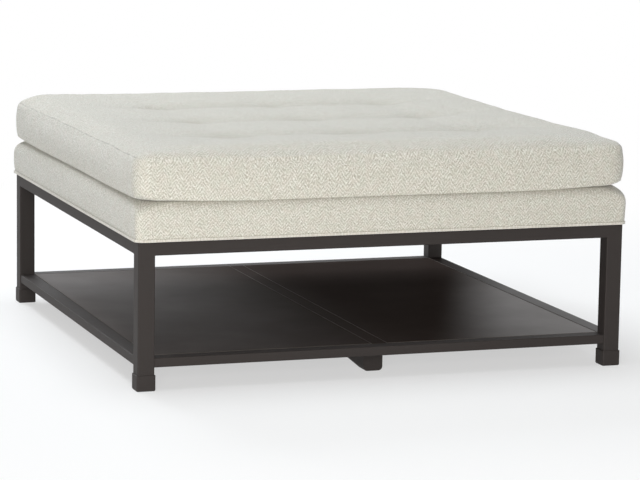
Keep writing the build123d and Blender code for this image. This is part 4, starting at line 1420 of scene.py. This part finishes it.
@dataclass
class UpholsteredDeck:
    """Padded deck on the frame, with a stitched welt along its lower edge."""

    cells: int = 90
    corner: float = 0.014
    corner_growth: float = 0.5
    welt_height: float = 0.0055
    welt_seat_inset: float = 0.0055
    welt_proud: float = 0.0028
    # the side, and the roll from it to the flat top
    full_height: float = 0.046
    side_inset: float = 0.0042
    side_bulge: float = 0.0026
    side_shares: Tuple[float, ...] = (0.12, 0.26, 0.42, 0.6, 0.8)
    roll_inset: float = 0.028
    roll_power: float = 2.3
    roll_degrees: Tuple[int, ...] = (0, 12, 24, 36, 47, 57, 66, 74, 81, 86, 90)
    roll_corner_growth: float = 3.0
    # the hollow that takes the timber, the board and the foam
    hollow_half: float = 0.509
    hollow_rise: float = 0.062
    # unevenness of the cover, with small gathers where it is pulled down into the welt
    swells: Tuple[Ripple, Ripple] = (Ripple(0.0012, 0.12, 5.5), Ripple(0.0006, 0.04, 2.2))
    gathers: Ripple = Ripple(0.0005, 0.016, 9.1)
    gather_reach: float = 0.25
    gather_stretch: float = 0.12
    free_from: float = 0.08
    groove: float = 0.0012
    # the top, which the cushion dents a little
    top_share: float = 0.98
    dent: float = 0.001
    dent_reach: float = 0.42
    over_foam: float = 0.0005
    # the welt's double cord and its stitches
    cord_sides: int = 8
    cord_cells: int = 120
    cord_lift: float = 0.0001
    stitch_length: float = 0.0034
    stitch_radius: float = 0.00042
    stitch_spacing: float = 0.0043
    stitch_depth: float = 0.0006

    def levels(self) -> List[Level]:
        """Outlines from the hollow's edge, out along the bottom, up and over to the flat top.

        Returns:
            The outlines.
        """
        low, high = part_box("deck_cover")
        half = high.x
        seat = self.welt_seat_inset
        found = [
            (low.z + self.hollow_rise, half - self.hollow_half, 0.0),
            (low.z + 0.004, half - self.hollow_half, 0.0),
            (low.z + 0.0004, half - self.hollow_half - 0.0015, 0.0),
            (low.z + 0.0002, seat + 0.004, 0.0),
            (low.z + 0.0006, seat + 0.0004, 0.0),
            (low.z + 0.003, seat + 0.0002, 0.0),
            (low.z + self.welt_height, seat, 0.35),
        ]
        for share in self.side_shares:
            rise = self.welt_height + (self.full_height - self.welt_height) * share
            found.append((low.z + rise, self.side_inset + (seat - self.side_inset) * (1 - share) ** 2, 0.0))
        roll = high.z - low.z - self.full_height
        power = 2 / self.roll_power
        for degrees in self.roll_degrees:
            turn = math.radians(degrees)
            rise = roll * math.sin(turn) ** power
            inset = self.side_inset + self.roll_inset * (1 - max(math.cos(turn), 0.0) ** power)
            found.append((low.z + self.full_height + rise, inset, 0.0))
        levels = []
        for height, inset, seam in found:
            above = min(max((height - low.z - self.welt_height) / 0.02, 0.0), 1.0)
            growth = self.roll_corner_growth if height > low.z + self.full_height else self.corner_growth
            corner = self.corner + growth * max(inset - self.side_inset, 0.0)
            levels.append(Level(height, half - inset, corner, -self.side_bulge * above, seam))
        return levels

    def make_cover(self, dresser: Dresser) -> bpy.types.Object:
        """Builds the cover, with the slight unevenness of stretched cloth over wadding.

        Args:
            dresser: Gives it its cloth.

        Returns:
            The cover.
        """
        shell = PaddedShell(self.cells, self.levels())
        piece = shell.build("deck_upholstery")
        low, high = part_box("deck_cover")
        points = read_mesh(piece.data)
        normals = read_mesh(piece.data, "normal")
        rise = (points[:, 2] - low.z) / (high.z - low.z)
        outer = np.maximum(np.abs(points[:, 0]), np.abs(points[:, 1])) > self.hollow_half + 0.003
        top = np.clip((rise - self.top_share) * 60, 0, 1)
        free = np.where(outer, np.clip((rise - self.free_from) * 6, 0, 1), top)
        swells = sum(ripple.over(points) for ripple in self.swells)
        gathers = self.gathers.over(points * (1, 1, self.gather_stretch))
        gathers *= np.exp(-((rise / self.gather_reach) ** 2))
        points += normals * ((swells + gathers) * free)[:, None]
        points -= normals * shell.seams[:, None] * self.groove
        dent = np.exp(-(np.hypot(points[:, 0], points[:, 1]) / self.dent_reach) ** 4) * self.dent
        over_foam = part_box("deck_foam")[1].z + self.over_foam
        height = np.clip(points[:, 2] - dent, over_foam, high.z)
        points[:, 2] = np.where(rise > self.top_share, height, points[:, 2])
        write_points(piece.data, points)
        subdivide(piece)
        dresser.dress(piece, Finish.CLOTH)
        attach(piece, "base")
        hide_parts("deck_cover")
        return piece

    def welt_path(self, outset: float, height: float, count: int = 60) -> List[Point]:
        """Points round the deck's lower edge.

        Args:
            outset: Distance out from the welt's seat.
            height: Height above the steel frame.
            count: Points along each side.

        Returns:
            The points, once round.
        """
        low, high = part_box("deck_cover")
        half = high.x - self.welt_seat_inset + outset
        corner = self.corner + self.corner_growth * self.welt_seat_inset + outset
        share = np.tile(np.linspace(-1, 1, count + 1)[:-1], 4)
        x, y = turned(*outline(share, Level(0, half, corner)), np.repeat(np.arange(4), count))
        return [(float(a), float(b), low.z + height) for a, b in zip(x, y)]

    def make_welt(self, dresser: Dresser) -> bpy.types.Object:
        """Builds the double cord of the welt, one roll above the other.

        Args:
            dresser: Gives it its cloth.

        Returns:
            The two cords, as one piece.
        """
        radius, sides = self.welt_height / 4, self.cord_sides
        length = 4 * self.cord_cells
        step, girth = 8 * self.hollow_half / length, 2 * math.pi * radius / sides
        points: List[Point] = []
        faces: List[Face] = []
        corners: List[Tuple[float, float]] = []
        for roll in range(2):
            start = len(points)
            middle = radius * (1 + 2 * roll) + self.cord_lift
            for out, up in circle(radius, sides):
                points += self.welt_path(self.welt_proud - radius + out, middle + up, self.cord_cells)
            for side in range(sides):
                ring, other = (start + place * length for place in (side, (side + 1) % sides))
                for index in range(length):
                    after = (index + 1) % length
                    faces.append((ring + index, ring + after, other + after, other + index))
                    x, y = index * step, side * girth
                    corners += [(x, y), (x + step, y), (x + step, y + girth), (x, y + girth)]
        piece = new_piece("deck_welt_cords", points, faces)
        piece.data.uv_layers.new(name=CLOTH_MAP).data.foreach_set("uv", np.array(corners).ravel())
        piece.data.shade_smooth()
        dresser.dress(piece, Finish.WELT)
        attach(piece, "base")
        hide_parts("deck_welt")
        return piece

    def make_stitches(self, dresser: Dresser, rows: RowOf) -> bpy.types.Object:
        """Sets a stitch across the welt's middle every few millimetres.

        Args:
            dresser: Gives the thread its finish.
            rows: The tree that sets copies along a path.

        Returns:
            The stitches, as one piece.
        """
        row = rows.along(
            "welt_stitches",
            self.welt_path(self.welt_proud - self.stitch_depth, self.welt_height / 2),
            rod_pattern("stitch", self.stitch_length, self.stitch_radius, sides=6),
            dresser.material(Finish.THREAD),
            spacing=self.stitch_spacing,
            wander=0.00012,
            tilt=0.12,
            seed=4,
        )
        row.data.shade_smooth()
        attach(row, "base")
        return row


@dataclass
class Underside:
    """Dust cloth stapled under the deck's timber frame."""

    cells: int = 40
    sag: float = 0.0035
    free_half: float = 0.46
    thickness: float = 0.0004
    edge_margin: float = 0.012
    staple_length: float = 0.011
    staple_radius: float = 0.0006
    staple_spacing: float = 0.045
    staple_drop: float = 0.0005

    def make_cloth(self, dresser: Dresser) -> bpy.types.Object:
        """Builds the cloth: held along the frame's members and sagging a little between them.

        Args:
            dresser: Gives it its finish.

        Returns:
            The cloth.
        """
        low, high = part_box("dust_cover")
        beam_low, beam_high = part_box("deck_cross_rail_right")
        middle = (low.z + high.z) / 2
        places = np.linspace(low.x + 0.001, high.x - 0.001, self.cells + 1)
        x, y = np.meshgrid(places, places, indexing="ij")
        beam, wide = (beam_low.x + beam_high.x) / 2, (beam_high.x - beam_low.x) / 2
        bay_middle = (np.abs(x) < beam - wide) * np.cos(np.clip(x / (beam - wide), -1, 1) * math.pi / 2) ** 2
        outer = (np.abs(x) - beam - wide) / (self.free_half - beam - wide)
        bay_outer = ((outer > 0) & (outer < 1)) * np.sin(np.clip(outer, 0, 1) * math.pi) ** 2
        length = np.cos(np.clip(y / self.free_half, -1, 1) * math.pi / 2) ** 0.5
        z = middle - self.sag * np.maximum(bay_middle, bay_outer) * length
        points = np.stack([x, y, z], axis=-1).reshape(-1, 3)
        grid = np.arange(len(points)).reshape(self.cells + 1, self.cells + 1)
        faces = np.stack([grid[:-1, :-1], grid[:-1, 1:], grid[1:, 1:], grid[1:, :-1]], axis=-1)
        piece = new_piece("dust_cloth", points.tolist(), faces.reshape(-1, 4).tolist())
        piece.data.shade_smooth()
        thick = piece.modifiers.new("Cloth", "SOLIDIFY")
        thick.thickness = self.thickness
        thick.offset = 0.0
        apply_modifiers(piece)
        dresser.dress(piece, Finish.DUST_CLOTH)
        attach(piece, "base")
        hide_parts("dust_cover")
        return piece

    def make_staples(self, dresser: Dresser, rows: RowOf) -> bpy.types.Object:
        """Sets the staples that hold the cloth's turned edge.

        Args:
            dresser: Gives the staples their zinc.
            rows: The tree that sets copies along a path.

        Returns:
            The staples, as one piece.
        """
        low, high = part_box("dust_cover")
        half, under = high.x - self.edge_margin, (low.z + high.z) / 2 - self.staple_drop
        row = rows.along(
            "dust_cloth_staples",
            [(x, y, under) for x, y in ((-half, -half), (half, -half), (half, half), (-half, half))],
            rod_pattern("staple", self.staple_length, self.staple_radius, sides=5),
            dresser.material(Finish.ZINC),
            spacing=self.staple_spacing,
            wander=0.0016,
            tilt=0.3,
            seed=9,
        )
        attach(row, "base")
        return row


@dataclass
class SteelBase:
    """Welded base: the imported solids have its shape, and get its finish here."""

    FINISHES = {
        "leg_": Finish.STEEL,
        "leg_glide_": Finish.NYLON,
        "foot_sleeve_": Finish.STEEL,
        "corner_plate_": Finish.STEEL,
        "top_rail_": Finish.STEEL,
        "shelf_": Finish.STEEL,
        "shelf_panel_": Finish.SHELF,
        "shelf_centre_rail": Finish.SHELF,
        "shelf_rail_right": Finish.RAIL,
        "centre_runner": Finish.STEEL,
        "runner_cap_": Finish.STEEL,
        "runner_glides": Finish.NYLON,
    }
    joint_width: float = 0.0014
    joint_height: float = 0.0006

    def dress(self, dresser: Dresser) -> None:
        """Covers the base's nodes in powder coat, and its feet in nylon."""
        dresser.dress_nodes(self.FINISHES)

    def make_joint_highlights(self, dresser: Dresser, beads: SweptBead) -> bpy.types.Object:
        """Lays a fine bead of light coating over the joints round the shelf's trays: a painted highlight in
        place of the light that the joints' edges catch.

        Args:
            dresser: Gives the lines their finish.
            beads: The tree that sweeps a bead.

        Returns:
            The lines, as one piece.
        """
        lines = []
        for name in ("shelf_panel_left", "shelf_panel_right"):
            low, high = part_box(name)
            x0, x1, y0, y1, z = low.x, high.x, low.y, high.y, high.z
            lines += [((x0, y0, z), (x0, y1, z)), ((x1, y0, z), (x1, y1, z))]
            lines += [((x0, y0, z), (x1, y0, z)), ((x0, y1, z), (x1, y1, z))]
        finish = dresser.material(Finish.JOINT_HIGHLIGHT)
        piece = beads.along("shelf_joint_lines", lines, finish, self.joint_width, self.joint_height)
        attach(piece, "base")
        return piece


class HiddenParts:
    """What the upholstery hides: timber, board, foam, discs and fasteners."""

    FINISHES = {
        "deck_rail_front": Finish.TIMBER_X,
        "deck_rail_back": Finish.TIMBER_X,
        "deck_rail_left": Finish.TIMBER_Y,
        "deck_rail_right": Finish.TIMBER_Y,
        "deck_cross_rail_": Finish.TIMBER_Y,
        "deck_corner_block_": Finish.TIMBER_X,
        "deck_board": Finish.PLYWOOD,
        "deck_foam": Finish.FOAM,
        "cushion_core": Finish.FOAM,
        "mounting_bolts": Finish.ZINC,
        "mounting_washers": Finish.ZINC,
        "tee_nuts": Finish.ZINC,
        "deck_screws": Finish.ZINC,
        "tuft_anchor_discs": Finish.DISC,
    }

    def dress(self, dresser: Dresser) -> None:
        """Covers each of them in its finish."""
        dresser.dress_nodes(self.FINISHES)


@dataclass(frozen=True)
class PhotoCamera:
    """Camera at the photograph's place, found from the legs' corners."""

    place: Point = (-2.0254, -5.8932, 1.2014)
    turn: float = 0.336812
    dip: float = 0.158535
    roll: float = 0.016156
    lens: float = 160.7
    sensor: float = 36.0

    def make(self) -> bpy.types.Object:
        """Creates the camera and makes it the scene's own.

        Returns:
            The camera.
        """
        ahead = Vector((math.sin(self.turn), math.cos(self.turn), 0.0))
        right = Vector((math.cos(self.turn), -math.sin(self.turn), 0.0))
        up = Vector((0.0, 0.0, 1.0))
        looks = math.cos(self.dip) * ahead - math.sin(self.dip) * up
        over = math.sin(self.dip) * ahead + math.cos(self.dip) * up
        level = math.cos(self.roll) * right + math.sin(self.roll) * over
        upright = -math.sin(self.roll) * right + math.cos(self.roll) * over
        data = bpy.data.cameras.new("camera")
        data.lens = self.lens
        data.sensor_width = self.sensor
        data.clip_end = 100.0
        camera = bpy.data.objects.new("camera", data)
        columns = Matrix((level, upright, -looks)).transposed()
        camera.matrix_world = Matrix.Translation(self.place) @ columns.to_4x4()
        bpy.context.scene.collection.objects.link(camera)
        bpy.context.scene.camera = camera
        return camera


@dataclass(frozen=True)
class Lamp:
    """One soft square lamp of the studio, aimed at the table."""

    name: str
    place: Point
    size: float
    power: float
    colour: Colour = WHITE
    aim: Point = (0.0, 0.0, 0.3)

    def make(self) -> bpy.types.Object:
        """Hangs the lamp.

        Returns:
            The lamp.
        """
        data = bpy.data.lights.new(self.name, "AREA")
        data.shape = "SQUARE"
        data.size = self.size
        data.energy = self.power
        data.color = self.colour
        lamp = bpy.data.objects.new(self.name, data)
        lamp.visible_camera = False
        lamp.location = self.place
        lamp.rotation_euler = (Vector(self.aim) - Vector(self.place)).to_track_quat("-Z", "Y").to_euler()
        bpy.context.scene.collection.objects.link(lamp)
        return lamp


@dataclass
class Studio:
    """Pale floor, white surroundings and soft lamps."""

    floor_half: float = 30.0
    floor_colour: Colour = (0.93, 0.93, 0.925)
    floor_glow: float = 0.55
    shadow_reach: Tuple[float, float] = (1.0, 2.4)
    sky: float = 0.2
    lamps: Tuple[Lamp, ...] = (
        Lamp("key", (-1.5, -4.0, 0.75), 1.5, 100.0, (1.0, 0.985, 0.95)),
        Lamp("left", (-4.6, -0.6, 0.9), 1.8, 12.0, (1.0, 0.995, 0.985)),
        Lamp("right", (4.2, 1.6, 1.1), 1.8, 20.0),
        Lamp("back", (-0.7, 3.4, 2.9), 1.8, 96.0, (0.91, 0.955, 1.0)),
        Lamp("top", (-0.5, 0.2, 4.4), 3.0, 110.0, (0.91, 0.955, 1.0)),
    )

    def _seen(self, tree: NodeTree) -> Wire:
        """1 for rays that come from the camera, a reflection or a see-through surface.

        Args:
            tree: The tree that asks.

        Returns:
            The wire.
        """
        path = tree.node("ShaderNodeLightPath")
        seen = tree.math("MAXIMUM", tree.wire(path, "Is Camera Ray"), tree.wire(path, "Is Glossy Ray"))
        return tree.math("MAXIMUM", seen, tree.wire(path, "Is Transmission Ray"))

    def make_floor(self) -> bpy.types.Object:
        """Lays the floor, which keeps the table's shadow.

        Returns:
            The floor.
        """
        size = self.floor_half
        corners = [(-size, -size, 0), (size, -size, 0), (size, size, 0), (-size, size, 0)]
        floor = new_piece("floor", corners, [(0, 1, 2, 3)])
        tree = FinishTree("studio_floor")
        matt = tree.add("ShaderNodeBsdfDiffuse", None, {"Color": flat(self.floor_colour)})
        glow = tree.add("ShaderNodeEmission", None, {"Color": flat(WHITE), "Strength": 1.0})
        x, y, _ = tree.split(tree.place())
        away = tree.between(tree.math("SQRT", x * x + y * y), *self.shadow_reach)
        share = self._seen(tree) * (self.floor_glow + away * (1 - self.floor_glow))
        mixed = tree.add("ShaderNodeMixShader", None, {0: share, 1: matt, 2: glow})
        tree.node("ShaderNodeOutputMaterial", None, {"Surface": mixed})
        floor.data.materials.append(tree.material)
        return floor

    def make_world(self) -> None:
        """Surrounds the table with an even white."""
        world = bpy.data.worlds.new("studio")
        world.use_nodes = True
        bpy.context.scene.world = world
        tree = NodeTree(world.node_tree)
        soft, white = (
            tree.add("ShaderNodeBackground", None, {"Color": flat(WHITE), "Strength": strength})
            for strength in (self.sky, 1.0)
        )
        mixed = tree.add("ShaderNodeMixShader", None, {0: self._seen(tree), 1: soft, 2: white})
        tree.node("ShaderNodeOutputWorld", None, {"Surface": mixed})

    def make(self) -> None:
        """Sets up the whole studio."""
        self.make_floor()
        self.make_world()
        for lamp in self.lamps:
            lamp.make()
        view = bpy.context.scene.view_settings
        view.view_transform = "Standard"


def clear_start() -> None:
    """Removes whatever the scene held before the table's own frame."""
    kept = set(frame["nodes"].values()) | set(frame["bodies"].values())
    for thing in list(bpy.data.objects):
        if thing not in kept:
            bpy.data.objects.remove(thing)


def main() -> None:
    """Builds the studio, the camera and every piece of the table, and reports each piece."""
    logging.basicConfig(level=logging.INFO, format="%(name)s %(message)s")
    clear_start()
    PhotoCamera().make()
    Studio().make()
    dresser, rows = Dresser(), RowOf("row_along_a_path")
    steel, deck, underside, cushion = SteelBase(), UpholsteredDeck(), Underside(), LooseCushion()
    steel.dress(dresser)
    HiddenParts().dress(dresser)
    pieces = [
        steel.make_joint_highlights(dresser, SweptBead("bead_along_a_path")),
        deck.make_cover(dresser),
        deck.make_welt(dresser),
        deck.make_stitches(dresser, rows),
        underside.make_cloth(dresser),
        underside.make_staples(dresser, rows),
        cushion.make(dresser),
        cushion.make_ties(dresser),
    ]
    for piece in pieces:
        log.info("piece %s: %d vertices", piece.name, len(piece.data.vertices))


if __name__ == "__main__":
    main()
